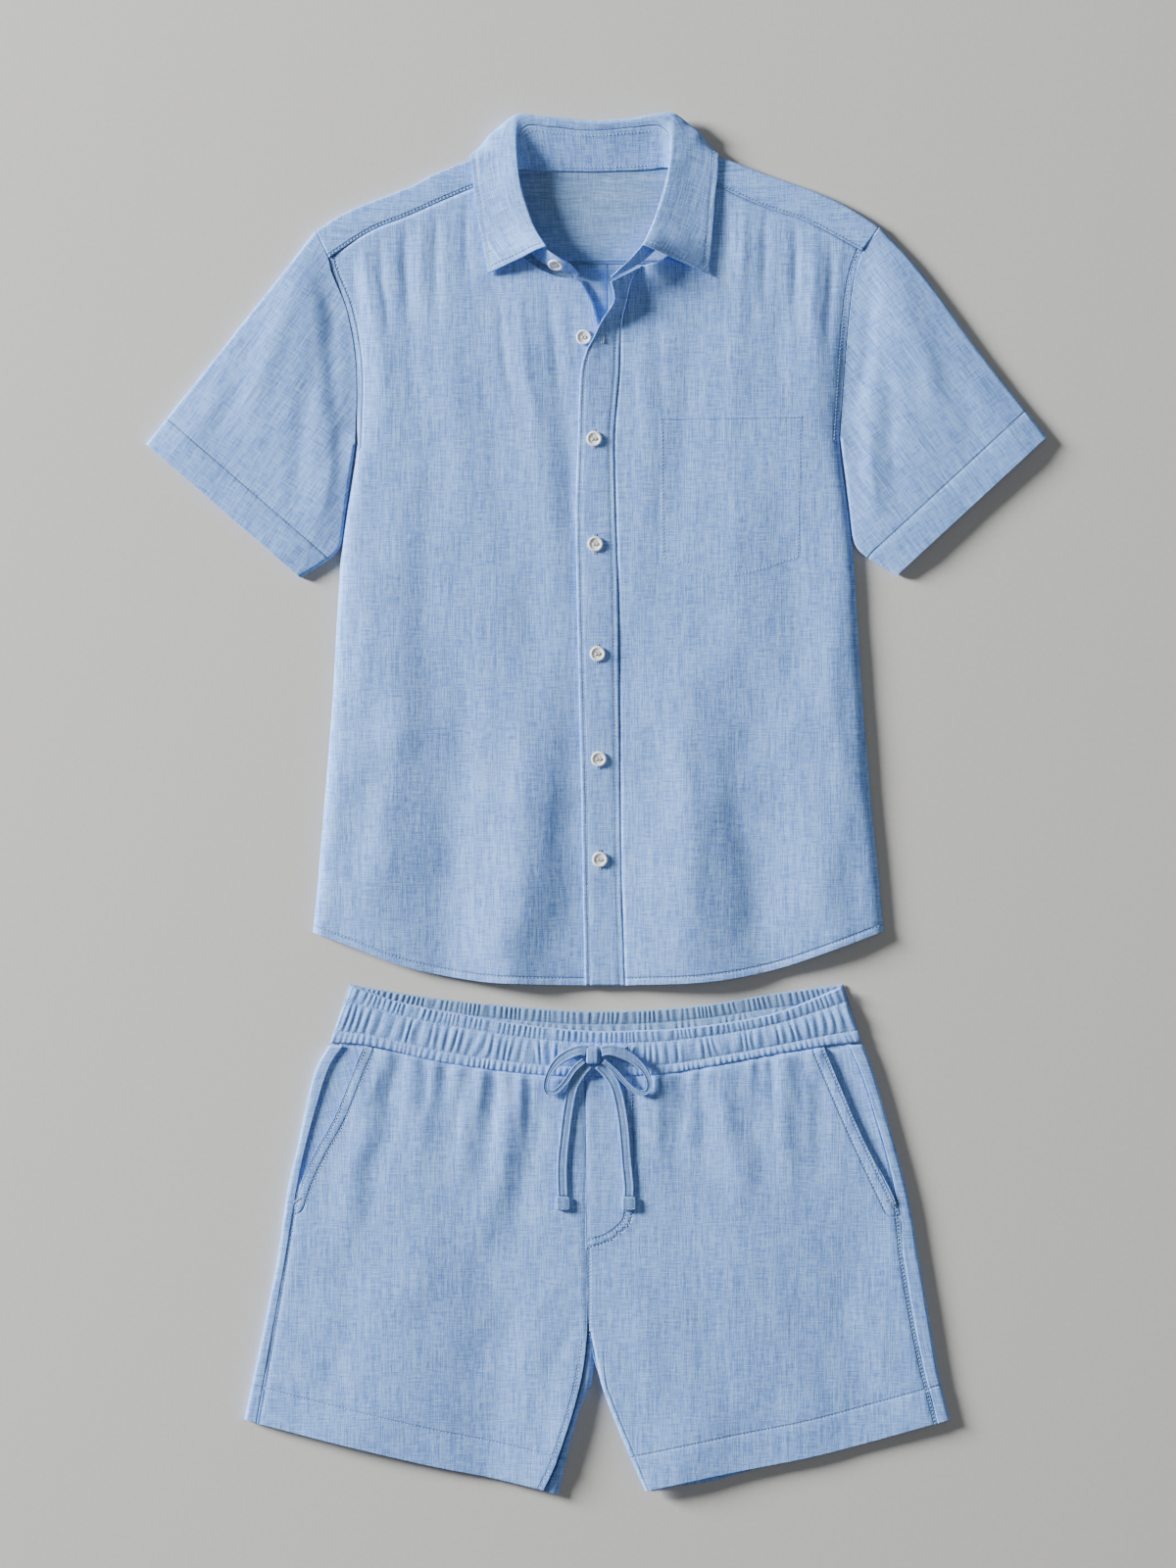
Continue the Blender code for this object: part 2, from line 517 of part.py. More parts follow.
def shorts_front(name, plan, columns):
    rows = []
    for v in [0.0, 0.05, 0.12, 0.2, 0.3, 0.42, 0.55, 0.7, 0.85, 1.0]:
        row = []
        for u in steps_between(columns):
            p = plan(u, v)
            row.append((p.x, p.y, shorts_height(p.x, p.y, waist_low(p.x))))
        rows.append(row)
    cloth(name, rows)


def shorts_front_plans():
    top_l = [MOUTH_L[0], (-132, -224.6), (-56, -234.6), (-10.3, -236.4)]
    left = MOUTH_L[:-1] + [(x + SEAM, y) for x, y in SIDE_SEAM_L[4:]]
    hem_l = [left[-1], (-231, -552), (-148, -572), (-89, -584), (-46, -594)]
    right = [(-10.3, -236.4), (-8.3, -391), (-8.3, -459), (-15, -506), (-35, -570), (-46, -594)]
    top_r = [(-9.7, -236.4), (56, -234.6), (100, -227.6), (153, -217.6), MOUTH_R[0]]
    centre = [(-9.7, -236.4), (-7.7, -391), (-6, -456), (3.5, -500), (10.5, -521), (26.5, -560), (42, -594.6)]
    outer = MOUTH_R[:-1] + [(x - SEAM, y) for x, y in SIDE_SEAM_R[3:]]
    hem_r = [(42, -594.6), (111, -580), (196, -563), outer[-1]]
    return patch(top_l, hem_l, left, right), patch(top_r, hem_r, centre, outer)


def shorts_back(outer, seam, inner, inseam, hem, top):
    """Rows of a back panel: flat on the surface, wrapping the side, and the inseam where it shows."""
    plan = patch(top, hem, outer, inner)
    rows = []
    half = LOFT / 2
    for v in [0.0, 0.08, 0.18, 0.3, 0.45, 0.58, 0.66, 0.76, 0.88, 1.0]:
        side, middle = plan(0, v), plan(1, v)
        width = (middle - side).length
        seam_at = max((spline(seam, v) - side).length - SEAM, EDGE + 0.5)
        turns = [(seam_at, LOFT - 0.1), (EDGE, LOFT - 0.1), (0.9, LOFT - 0.8), (0.0, half), (0.9, 0.8)]
        row = [(plan(d / width, v), z) for d, z in turns]
        row += [(plan(u, v), 0.0) for u in steps_between(8, EDGE / width, 1 - EDGE / width)]
        if inseam:
            seams = [spline(inseam, t) for t in steps_between(60)]
            strip = max((nearest(seams, middle) - middle).length - 3.5 * SEAM, 1.6)
            inner_turns = [(0.9, 0.8), (0.0, half), (0.9, LOFT - 1.0), (strip, LOFT - 0.2)]
            row += [(plan(1 - d / width, v), z) for d, z in inner_turns]
        rows.append([(p.x, p.y, z) for p, z in row])
    return rows


def waistband(name, top, low, bottom_z, bands, turn):
    """Gathered band: ridges on its upper face over a plain inside."""
    bm = bmesh.new()
    columns = 2 * WAIST_WAVES
    upper = []
    for b, rise in bands:
        row = []
        for i in range(columns + 1):
            t = i / columns
            p = spline(top, t).lerp(spline(low, t), b)
            edge = min(t, 1 - t) * WAIST_LENGTH
            face = bottom_z + WAIST_WALL + WAVE * (i % 2) * rise
            z = turned_edge(edge, face, turn) if turn else face
            row.append(bm.verts.new((p.x * MM, p.y * MM, z * MM)))
        upper.append(row)
    for a, b in zip(upper, upper[1:]):
        for i in range(columns):
            bm.faces.new((a[i], b[i], b[i + 1], a[i + 1]))
    rim = upper[0] + [row[-1] for row in upper[1:]] + upper[-1][-2::-1] + [row[0] for row in upper[-2:0:-1]]
    under = [bm.verts.new((v.co.x, v.co.y, bottom_z * MM)) for v in rim]
    for i in range(len(rim)):
        k = (i + 1) % len(rim)
        bm.faces.new((rim[i], rim[k], under[k], under[i]))
    bm.faces.new(list(reversed(under)))
    bmesh.ops.recalc_face_normals(bm, faces=bm.faces)
    mesh = bpy.data.meshes.new(name)
    bm.to_mesh(mesh)
    bm.free()
    return add_object(name, mesh)


def pocket_facing(name, mouth, seam):
    """Pocket layer that shows between the slanted mouth and the side seam."""
    rows = []
    for v in steps_between(6, 0.02, 0.93):
        inner, outer = spline(mouth, v), spline(seam, v * 0.62)
        aside = SEAM if outer.x < 0 else -SEAM
        near = outer + Vector((aside, 0))
        far = inner + Vector((aside * 20, 0))
        row = []
        for s in (0.0, 0.5, 1.0):
            p = near.lerp(far, s)
            row.append((p.x, p.y, LOFT - FACING_DROP))
        rows.append(row if outer.x < 0 else row[::-1])
    cloth(name, rows, FACING, colour=LINEN_DARK)


def tape(name, points):
    """A stretch of the flat drawstring, through a smooth curve over the cloth."""
    data = bpy.data.curves.new(name, "CURVE")
    data.dimensions = "3D"
    data.twist_mode = "Z_UP"
    length = sum((Vector(b) - Vector(a)).length for a, b in zip(points, points[1:]))
    count = max(4, round(length / 8.5))
    path = data.splines.new("POLY")
    path.points.add(count)
    for i, t in enumerate(steps_between(count)):
        p = spline(points, t)
        z = cord_ground(p.x, p.y) + p.z + TAPE_T / 2
        path.points[i].co = (p.x * MM, p.y * MM, z * MM, 1.0)
        path.points[i].tilt = math.pi / 2
    data.extrude = (TAPE_W / 2 - TAPE_T / 2) * MM
    data.bevel_depth = TAPE_T / 2 * MM
    data.bevel_resolution = 2
    data.use_fill_caps = True
    obj = bpy.data.objects.new(name, data)
    obj.data.materials.append(material(name, LINEN, 0.85))
    GROUP.objects.link(obj)
    return obj


def block(name, x, y, z, size, bevel):
    """A knotted or folded lump of tape: a box with rounded edges."""
    bpy.ops.mesh.primitive_cube_add(size=1.0)
    obj = bpy.context.object
    obj.name = name
    obj.data.name = name
    for vert in obj.data.vertices:
        vert.co = (vert.co.x * size[0] * MM, vert.co.y * size[1] * MM, vert.co.z * size[2] * MM)
    obj.location = (x * MM, y * MM, z * MM)
    edge = obj.modifiers.new("round", "BEVEL")
    edge.width = bevel * MM
    edge.segments = 3
    obj.data.materials.append(material(name, LINEN, 0.85))
    for other in list(obj.users_collection):
        other.objects.unlink(obj)
    GROUP.objects.link(obj)
    return obj


def build_shirt():
    shirt_back()
    shirt_yoke()
    shirt_front("shirt_front_left", front_plan_left(), "left", button_stand_sag)
    shirt_front("shirt_front_right", front_plan_right(), "right")
    placket()
    sleeve("sleeve_left", SLEEVE_L)
    sleeve("sleeve_right", SLEEVE_R)
    collar_stand()
    collar_leaf()
    chest_pocket()
    for index, (x, y) in enumerate(BUTTONS):
        on_placket = index > 0
        z = front_height(x, y) + (PLACKET_RISE if on_placket else 0.0) + 2 * SEAM
        button("shirt_button_%d" % (index + 2), x, y, z)
    button("shirt_button_1", *STAND_BUTTON, (math.radians(50), math.radians(-32)))


def build_shorts():
    plan_l, plan_r = shorts_front_plans()
    shorts_front("shorts_front_left", plan_l, 18)
    shorts_front("shorts_front_right", plan_r, 20)
    low = [(x, y - 4 * SEAM) for x, y in WAIST_BACK_LOW]
    top_l = [OUTER_L[0], *low[1:4], (-SEAM, low[4][1])]
    rows = shorts_back(OUTER_L, SIDE_SEAM_L, [top_l[-1], (-1, -459)] + INNER_L[1:], INSEAM_L, LEG_HEM_L, top_l)
    flat_columns = len(rows[0]) - 4
    cloth("shorts_back_left", rows, flip=True,
          keep=lambda i, j: i < flat_columns - 1 or rows[j][-3][1] < CROTCH_Y)
    top_r = [OUTER_R[0], *low[7:4:-1], (SEAM, low[4][1])]
    rows = shorts_back(OUTER_R, SIDE_SEAM_R, [top_r[-1], (0.5, -454)] + INNER_R[1:], None, LEG_HEM_R, top_r)
    cloth("shorts_back_right", rows)
    pocket_facing("pocket_facing_left", MOUTH_L, SIDE_SEAM_L)
    pocket_facing("pocket_facing_right", MOUTH_R, SIDE_SEAM_R)
    waistband("waistband_back", WAIST_BACK_TOP, WAIST_BACK_LOW, 0.0, [(0.0, 1.0), (1.0, 1.0)], 0)
    bands = [(0.0, 0.6), (0.24, 1.0), (0.72, 1.0), (1.0, 0.7)]
    waistband("waistband_front", WAIST_FRONT_TOP, WAIST_FRONT_LOW, FRONT_BAND_Z, bands, 1.8)


def cord_ground(x, y):
    """Height on which the drawstring lies: the gathered band, then the front below it."""
    band = FRONT_BAND_Z + WAIST_WALL + WAVE + SEAM
    cloth_top = LOFT + FOLD + 0.6
    part = max(0.0, min(1.0, (y + 246) / 14))
    return cloth_top + (band - cloth_top) * part


def build_drawstring():
    for side in ("left", "right"):
        tape("drawstring_lead_" + side, LEADS[side])
        tape("drawstring_loop_" + side, LOOPS[side])
        tape("drawstring_tail_" + side, TAILS[side])
        end = TAILS[side][-1]
        tip_z = cord_ground(end[0], end[1]) + 0.2 + TIP[2] / 2
        block("drawstring_tip_" + side, end[0], end[1] - TIP[1] / 2 - TIP_GAP, tip_z, TIP, 0.8)
    block("drawstring_knot", KNOT[0], KNOT[1], cord_ground(*KNOT) + 0.2 + KNOT_SIZE[2] / 2, KNOT_SIZE, 2.4)


clear_scene()
GROUP = bpy.data.collections.new("shirt_and_shorts_set")
bpy.context.scene.collection.children.link(GROUP)
build_shirt()
build_shorts()
build_drawstring()
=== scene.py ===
import math
import bpy
import numpy as np
from mathutils import Euler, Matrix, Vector


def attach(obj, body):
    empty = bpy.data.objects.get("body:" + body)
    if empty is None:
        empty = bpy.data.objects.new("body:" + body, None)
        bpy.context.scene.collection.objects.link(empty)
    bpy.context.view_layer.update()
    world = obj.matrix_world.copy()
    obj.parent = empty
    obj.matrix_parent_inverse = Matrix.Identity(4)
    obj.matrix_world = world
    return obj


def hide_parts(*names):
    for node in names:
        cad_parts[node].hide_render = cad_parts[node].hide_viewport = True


# Looks of a linen shirt and shorts set, laid flat. Tables and functions work in millimetres.
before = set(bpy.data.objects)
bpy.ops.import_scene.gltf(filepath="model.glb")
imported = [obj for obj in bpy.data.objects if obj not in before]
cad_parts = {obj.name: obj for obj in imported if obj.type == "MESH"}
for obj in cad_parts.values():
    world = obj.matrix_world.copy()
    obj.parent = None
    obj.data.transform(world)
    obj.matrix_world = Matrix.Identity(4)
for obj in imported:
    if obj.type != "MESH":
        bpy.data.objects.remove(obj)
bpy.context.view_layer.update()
mm = 0.001
print("stage: frame loaded")


# Colours are written as sRGB hex and turned to linear here.
def linear(code):
    parts = [int(code[i:i + 2], 16) / 255 for i in (0, 2, 4)]
    return tuple(c / 12.92 if c <= 0.04045 else ((c + 0.055) / 1.055) ** 2.4 for c in parts) + (1.0,)


def addNode(tree, kind, inputs=None, **settings):
    node = tree.nodes.new(kind)
    for key, value in settings.items():
        setattr(node, key, value)
    for key, value in (inputs or {}).items():
        if isinstance(value, bpy.types.NodeSocket):
            tree.links.new(value, node.inputs[key])
        else:
            node.inputs[key].default_value = value
    return node


def maths(tree, operation, *values):
    return addNode(tree, "ShaderNodeMath", dict(enumerate(values)), operation=operation).outputs[0]


def bump(tree, height, strength, distance, normal=None, **options):
    inputs = {"Height": height, "Strength": strength, "Distance": distance}
    if normal:
        inputs["Normal"] = normal
    return addNode(tree, "ShaderNodeBump", inputs, **options).outputs[0]


def linkedObject(name, data):
    made = bpy.data.objects.new(name, data)
    bpy.context.scene.collection.objects.link(made)
    return made


def newMaterial(name):
    made = bpy.data.materials.new(name)
    made.use_nodes = True
    made.node_tree.nodes.clear()
    return made, made.node_tree


def finishMaterial(tree, shader):
    addNode(tree, "ShaderNodeOutputMaterial", {"Surface": shader.outputs[0]})


def ramp(tree, factor, stops):
    node = addNode(tree, "ShaderNodeValToRGB", {"Fac": factor})
    elements = node.color_ramp.elements
    for index, (place, code) in enumerate(stops):
        element = elements[index] if index < 2 else elements.new(place)
        element.position = place
        element.color = linear(code)
    return node.outputs["Color"]


# Cross-dyed linen: threads of two blues and white, uneven in thickness. Slubs show as fine pale and
# dark dashes both ways, the crushed surface takes the light softly, and there is no shine.
linen = {"slubWide": 1.0, "slubLong": 34.0, "weftLong": 20.0, "threadWide": 0.5, "cloud": 34.0,
         "weaveBump": 0.2, "crushBump": 0.16, "crush": 5.0, "seamWide": 0.85, "seamDeep": 0.0007,
         "grooveShade": 0.45, "crushDeep": 0.0012, "slubDeep": 0.0005, "weaveDeep": 0.0004}
# Share of each kind of thread or cloud in the linen's colour.
linenShares = {"warp": 1.35, "weft": 1.0, "fineWarp": 1.2, "fineWeft": 0.9, "broadWarp": 0.5, "cloud": 0.2}
linenColours = {"face": [(0.1, "6A92D4"), (0.5, "86B0FF"), (0.9, "9ECBFF")],
                # inner: the face linen made darker, a painted shade for cloth that lies in shade inside the
                # neck and the back waistband.
                "inner": [(0.1, "6488BC"), (0.5, "7A9DCE"), (0.9, "90B4E0")],
                "tape": [(0.1, "5C82C0"), (0.5, "7499D6"), (0.9, "90B4E8")],
                # seam: a shade blue that the colour is mixed towards along stitch grooves, a painted shade.
                "seam": "5478B0"}


def linenMaterial(name, stops, contrast):
    made, tree = newMaterial(name)
    uv = addNode(tree, "ShaderNodeUVMap", uv_map="grain").outputs["UV"]

    def field(wide, high, detail=2.0, shift=0.0):
        place = addNode(tree, "ShaderNodeMapping", {"Vector": uv, "Scale": (1000 / wide, 1000 / high, 1.0),
                                                    "Location": (shift, shift * 0.7, 0.0)})
        inputs = {"Vector": place.outputs[0], "Scale": 1.0, "Detail": detail, "Roughness": 0.55}
        return addNode(tree, "ShaderNodeTexNoise", inputs, noise_dimensions="2D").outputs["Fac"]

    threads = {"warp": field(linen["slubWide"], linen["slubLong"], 1.6),
               "weft": field(linen["weftLong"], linen["slubWide"], 1.6, 9.3),
               "fineWarp": field(linen["threadWide"], 9.0, 1.0, 4.1),
               "fineWeft": field(9.0, linen["threadWide"], 1.0, 2.7),
               "broadWarp": field(5.0, 90.0, 2.0, 6.2),
               "cloud": field(linen["cloud"], linen["cloud"] * 1.6, 3.0, 1.9)}
    crush = field(linen["crush"], linen["crush"] * 1.5, 4.0, 7.7)
    total = 0.5
    for kind, share in linenShares.items():
        total = maths(tree, "MULTIPLY_ADD", maths(tree, "ADD", threads[kind], -0.5), share * contrast, total)
    colour = ramp(tree, total, stops)
    weave = maths(tree, "ADD", threads["fineWarp"], threads["fineWeft"])
    slubs = maths(tree, "ADD", threads["warp"], threads["weft"])
    crushed = bump(tree, crush, linen["crushBump"], linen["crushDeep"])
    raised = bump(tree, slubs, linen["weaveBump"], linen["slubDeep"], crushed)
    woven = bump(tree, weave, linen["weaveBump"], linen["weaveDeep"], raised)
    # The sheets carry their distance to the nearest line of stitches: the cloth draws in along it.
    seam = addNode(tree, "ShaderNodeUVMap", uv_map="seams").outputs["UV"]
    parts = addNode(tree, "ShaderNodeSeparateXYZ", {0: seam})
    square = maths(tree, "MULTIPLY", parts.outputs["X"], parts.outputs["X"])
    line = maths(tree, "EXPONENT", maths(tree, "MULTIPLY", square, -1 / linen["seamWide"] ** 2))
    groove = maths(tree, "MULTIPLY", line, parts.outputs["Y"])
    drawn = bump(tree, groove, 1.0, linen["seamDeep"], woven, invert=True)
    # Painted shade: along each stitch groove the cloth's colour is mixed towards the seam blue.
    share = maths(tree, "MULTIPLY", groove, linen["grooveShade"])
    inputs = {0: share, 6: colour, 7: linear(linenColours["seam"])}
    colour = addNode(tree, "ShaderNodeMix", inputs, data_type="RGBA").outputs[2]
    shader = addNode(tree, "ShaderNodeBsdfPrincipled", {
        "Base Color": colour, "Roughness": 0.92, "Specular IOR Level": 0.18, "Sheen Weight": 0.12,
        "Sheen Roughness": 0.5, "Normal": drawn})
    finishMaterial(tree, shader)
    return made


# Sewing thread: matched polyester, a little smoother than the linen, so a stitch catches a faint light.
def threadMaterial(name, code):
    made, tree = newMaterial(name)
    shader = addNode(tree, "ShaderNodeBsdfPrincipled", {
        "Base Color": linear(code), "Roughness": 0.6, "Specular IOR Level": 0.35})
    finishMaterial(tree, shader)
    return made


# Soft clouds a few millimetres wide.
def fineClouds(tree):
    inputs = {"Vector": addNode(tree, "ShaderNodeTexCoord").outputs["Object"], "Scale": 260.0, "Detail": 3.0}
    return addNode(tree, "ShaderNodeTexNoise", inputs).outputs["Fac"]


# Buttons of river shell: off-white with soft pale grey clouds and a polished face.
def shellMaterial():
    made, tree = newMaterial("polished shell")
    colour = ramp(tree, fineClouds(tree), [(0.3, "DCDDDF"), (0.5, "F4F6F9"), (0.72, "FCFDFF")])
    shader = addNode(tree, "ShaderNodeBsdfPrincipled", {
        "Base Color": colour, "Roughness": 0.28, "Coat Weight": 0.3, "Coat Roughness": 0.15})
    finishMaterial(tree, shader)
    return made


faceLinen = linenMaterial("cross-dyed slub linen", linenColours["face"], 1.1)
# Painted shade: a darker copy of the face linen, for the cloth that shows inside the neck and the back
# waistband.
paintedShadeLinen = linenMaterial("slub linen in painted shade", linenColours["inner"], 1.0)
tapeLinen = linenMaterial("linen drawstring tape", linenColours["tape"], 0.7)
sewing = threadMaterial("matched polyester thread", "A9C0E0")
darkSewing = threadMaterial("shadow-blue buttonhole thread", "8FA3C0")
buttonThread = threadMaterial("white button thread", "D9D9D6")
shell = shellMaterial()
print("stage: materials made")


# Distance to the nearest stitch line and that line's strength. The sign turns over at each line, so
# that the distance stays smooth between two of them.
def seamField(*lines):
    away = np.stack([np.asarray(d, float) for d, _ in lines])
    strength = np.stack([np.broadcast_to(w, away.shape[1:]) for _, w in lines])
    near = np.abs(away).argmin(0)[None]
    size = np.take_along_axis(np.abs(away), near, 0)[0] * np.prod(np.sign(away), 0)
    return np.stack([np.clip(size, -8, 8), np.take_along_axis(strength, near, 0)[0]], -1)


# Points at t, from 0 to 1 by length, on the smooth curve through a table's points.
def curveAt(points, t):
    pts = np.array(points, float)
    t = np.clip(np.atleast_1d(np.asarray(t, float)), 0.0, 1.0)
    steps = np.linalg.norm(np.diff(pts, axis=0), axis=1)
    ends = np.concatenate([[0.0], np.cumsum(steps)])
    reach = t * ends[-1]
    index = np.searchsorted(ends[1:-1], reach, side="left")
    length = steps[index][:, None]
    s = np.clip((reach - ends[index])[:, None] / length, 0.0, 1.0)
    p1, p2 = pts[index], pts[index + 1]
    p0 = np.where((index > 0)[:, None], pts[np.maximum(index - 1, 0)], p1 * 2 - p2)
    last = (index + 2 < len(pts))[:, None]
    p3 = np.where(last, pts[np.minimum(index + 2, len(pts) - 1)], p2 * 2 - p1)
    before = np.linalg.norm(p1 - p0, axis=1)[:, None]
    after = np.linalg.norm(p3 - p2, axis=1)[:, None]
    d1 = (p2 - p0) * length / (length + before)
    d2 = (p3 - p1) * length / (length + after)
    s2, s3 = s * s, s * s * s
    return p1 * (2 * s3 - 3 * s2 + 1) + d1 * (s3 - 2 * s2 + s) + p2 * (3 * s2 - 2 * s3) + d2 * (s3 - s2)


# Plan of a cut piece between four edge curves: u across and v down, as arrays of one shape.
def patch(top, bottom, left, right):
    corners = [np.array(p, float) for p in (top[0], top[-1], bottom[0], bottom[-1])]

    def plan(u, v):
        u, v = np.broadcast_arrays(np.asarray(u, float), np.asarray(v, float))
        shape = u.shape
        u, v = u.ravel(), v.ravel()
        a, b = u[:, None], v[:, None]
        across = curveAt(top, u) * (1 - b) + curveAt(bottom, u) * b
        down = curveAt(left, v) * (1 - a) + curveAt(right, v) * a
        flat = (corners[0] * (1 - a) + corners[1] * a) * (1 - b) + (corners[2] * (1 - a) + corners[3] * a) * b
        return (across + down - flat).reshape(shape + (2,))
    return plan


# Distance from points to a smooth curve.
def distanceTo(x, y, curve, samples=240):
    line = curveAt(curve, np.linspace(0, 1, samples))[:, :2]
    a, step = line[:-1], np.diff(line, axis=0)
    size = (step ** 2).sum(1)
    flat = np.stack([np.ravel(x), np.ravel(y)], -1)
    found = np.empty(len(flat))
    for k in range(0, len(flat), 4000):
        p = flat[k:k + 4000, None, :] - a
        t = np.clip((p * step).sum(-1) / size, 0.0, 1.0)
        found[k:k + 4000] = np.sqrt(((p - t[..., None] * step) ** 2).sum(-1).min(1))
    return found.reshape(np.shape(x))


# Smooth uneven values from -1 to 1 on a lattice of this size, the same on each run.
def softNoise(x, y, size, seed):
    lattice = np.random.RandomState(seed).uniform(-1, 1, (64, 64))
    gx, gy = np.asarray(x, float) / size + 640, np.asarray(y, float) / size + 640
    ix, iy = np.floor(gx).astype(int), np.floor(gy).astype(int)
    fx, fy = gx - ix, gy - iy
    fx, fy = fx * fx * (3 - 2 * fx), fy * fy * (3 - 2 * fy)
    a, b = lattice[iy % 64, ix % 64], lattice[iy % 64, (ix + 1) % 64]
    c, d = lattice[(iy + 1) % 64, ix % 64], lattice[(iy + 1) % 64, (ix + 1) % 64]
    return (a * (1 - fx) + b * fx) * (1 - fy) + (c * (1 - fx) + d * fx) * fy


def smoothStep(value, low, high):
    t = np.clip((value - low) / (high - low), 0.0, 1.0)
    return t * t * (3 - 2 * t)


# Height of a layer that turns down over a side, at a distance in from it.
def turned(distance, top, radius):
    inside = np.clip(radius - distance, 0.0, radius)
    return top - radius + np.sqrt(np.maximum(radius ** 2 - inside ** 2, 0.0))


# Creases: each row is a soft trough or ridge along a line, with its ends fading out.
def creasesAt(x, y, table):
    total = np.zeros(np.shape(x))
    for x0, y0, x1, y1, width, height in table:
        dx, dy = x1 - x0, y1 - y0
        length = math.hypot(dx, dy)
        along = ((x - x0) * dx + (y - y0) * dy) / length ** 2
        sway = 0.5 * softNoise(along * length, x0, 38, 5)
        across = ((x - x0) * dy - (y - y0) * dx) / (length * width) + sway
        fade = np.sin(math.pi * np.clip(along, 0, 1)) ** 0.8
        total = total + height * np.exp(-across ** 2) * fade
    return total


# Small unevenness of washed linen.
crumpleSizes = {"broad": (46, 0.34), "middle": (19, 0.17), "small": (8, 0.06)}


def crumple(x, y, seed=1):
    rows = crumpleSizes.values()
    return sum(h * softNoise(x, y * 0.6, size, seed + i) for i, (size, h) in enumerate(rows))


# A folded and stitched edge: one more layer inside the stitch line, and a groove along the line.
def hemRelief(distance, width, rise=0.45, groove=0.4):
    inside = 1 / (1 + np.exp(np.clip((distance - width) / 0.8, -30, 30)))
    return rise * inside - 0.5 * groove * np.exp(-((distance - width) / 2.2) ** 2)


# Fractions along a length with closer places near each end.
def spread(length, count, near, far):
    first, last = np.array(near) / length, 1 - np.array(far)[::-1] / length
    return np.concatenate([first, np.linspace(first[-1], last[0], count + 2)[1:-1], last])


# Distances in from an edge at which a grid has its first points: plain, or fine where the edge turns.
level = (0.0,)
fineEdge = (0.0, 0.35, 0.8, 1.4, 2.2, 3.2, 4.2, 5.2, 6.2, 7.4, 9.0)


def panelGrid(plan, step, left, right, top, bottom):
    middle = plan(np.full(40, 0.5), np.linspace(0, 1, 40))
    height = np.linalg.norm(np.diff(middle, axis=0), axis=1).sum()
    v = spread(height, int(height / step), top, bottom)
    width = np.linalg.norm(plan(0.0 * v, v) - plan(0.0 * v + 1, v), axis=1)
    count = int(width.max() / step)
    u = np.stack([spread(w, count, left, right) for w in width])
    flat = plan(u, v[:, None])
    return flat[..., 0], flat[..., 1]


# A sheet from rows of points, with the grain's own coordinates in metres as its UV.
def sheetMesh(name, points, grain, closed=False, flip=False, keep=None, seams=None):
    rows, columns = points.shape[:2]
    index = np.arange(rows * columns).reshape(rows, columns)
    if closed:
        index = np.concatenate([index, index[:, :1]], 1)
    quads = np.stack([index[:-1, :-1], index[1:, :-1], index[1:, 1:], index[:-1, 1:]], -1)
    if keep is not None:
        quads = quads[keep]
    quads = quads.reshape(-1, 4)
    if flip:
        quads = quads[:, ::-1]
    mesh = bpy.data.meshes.new(name)
    mesh.from_pydata((points.reshape(-1, 3) * mm).tolist(), [], quads.tolist())
    layer = mesh.uv_layers.new(name="grain")
    loops = np.empty(len(mesh.loops), dtype=np.int32)
    mesh.loops.foreach_get("vertex_index", loops)
    flat = grain.reshape(-1, 2) * mm
    layer.data.foreach_set("uv", flat[loops].astype(np.float32).ravel())
    marks = np.tile((8.0, 0.0), (len(flat), 1)) if seams is None else seams.reshape(-1, 2)
    layer = mesh.uv_layers.new(name="seams")
    layer.data.foreach_set("uv", marks[loops].astype(np.float32).ravel())
    mesh.validate()
    mesh.update()
    return mesh


def turnedGrain(x, y, angle):
    c, s = math.cos(math.radians(angle)), math.sin(math.radians(angle))
    return np.stack([x * c + y * s, y * c - x * s], -1)


def bakeModifiers(obj):
    view = bpy.context.evaluated_depsgraph_get()
    made = bpy.data.meshes.new_from_object(obj.evaluated_get(view))
    obj.modifiers.clear()
    obj.data = made


def openArea(mesh):
    return sum(p.area for p in mesh.polygons)


# Cuts: what each cloth piece measures flat as far as it shows here, width and length in metres.
cuts = {}


# One cloth piece: a sheet given its wall, with its flat size kept in the cuts. A curved
# narrow piece, which fills little of the box round it, is cut narrower than that box.
narrowCut = {"below": 0.35, "filled": 0.8}


def clothPiece(name, node, points, grain, wall=0.8, material=None, held="laid", restsOn=(), flat=None,
               area=None, inside=None, **options):
    mesh = sheetMesh(name, points, grain, **options)
    loose = openArea(mesh)
    obj = linkedObject(name, mesh)
    mesh.materials.append(material or faceLinen)
    # Faces marked inside take the linen in painted shade.
    if inside is not None:
        mesh.materials.append(paintedShadeLinen)
        mesh.polygons.foreach_set("material_index", inside.astype(np.int32))
    solid = obj.modifiers.new("wall", "SOLIDIFY")
    solid.thickness = wall * mm
    solid.offset = -1.0
    solid.use_even_offset = False
    bakeModifiers(obj)
    places = np.empty(len(obj.data.vertices) * 3, np.float32)
    obj.data.vertices.foreach_get("co", places)
    places[2::3] = np.maximum(places[2::3], 0.0)
    obj.data.vertices.foreach_set("co", places)
    obj.data.shade_smooth()
    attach(obj, "root")
    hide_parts(node)
    if flat is None:
        size = points.reshape(-1, 3).max(0) - points.reshape(-1, 3).min(0)
        flat = (size[0] * mm, size[1] * mm)
        if loose > flat[0] * flat[1]:
            flat = (flat[0] * 2, flat[1])
        if loose < narrowCut["below"] * flat[0] * flat[1]:
            flat = (loose / (narrowCut["filled"] * flat[1]), flat[1])
    cuts[name] = (round(flat[0], 3), round(flat[1], 3), round(loose, 4))
    return obj


stitchLines = {"shirtStitching": [], "shortsStitching": []}
stitchLift = {"cloth": 0.12, "collar": 0.15, "band": 0.1}


# A line of stitches on a surface, through the plan points given.
def sew(group, line, surface, lift=stitchLift["cloth"]):
    line = np.asarray(line, float)
    z = surface(line[:, 0], line[:, 1]) + lift
    stitchLines[group].append(np.column_stack([line, z]))


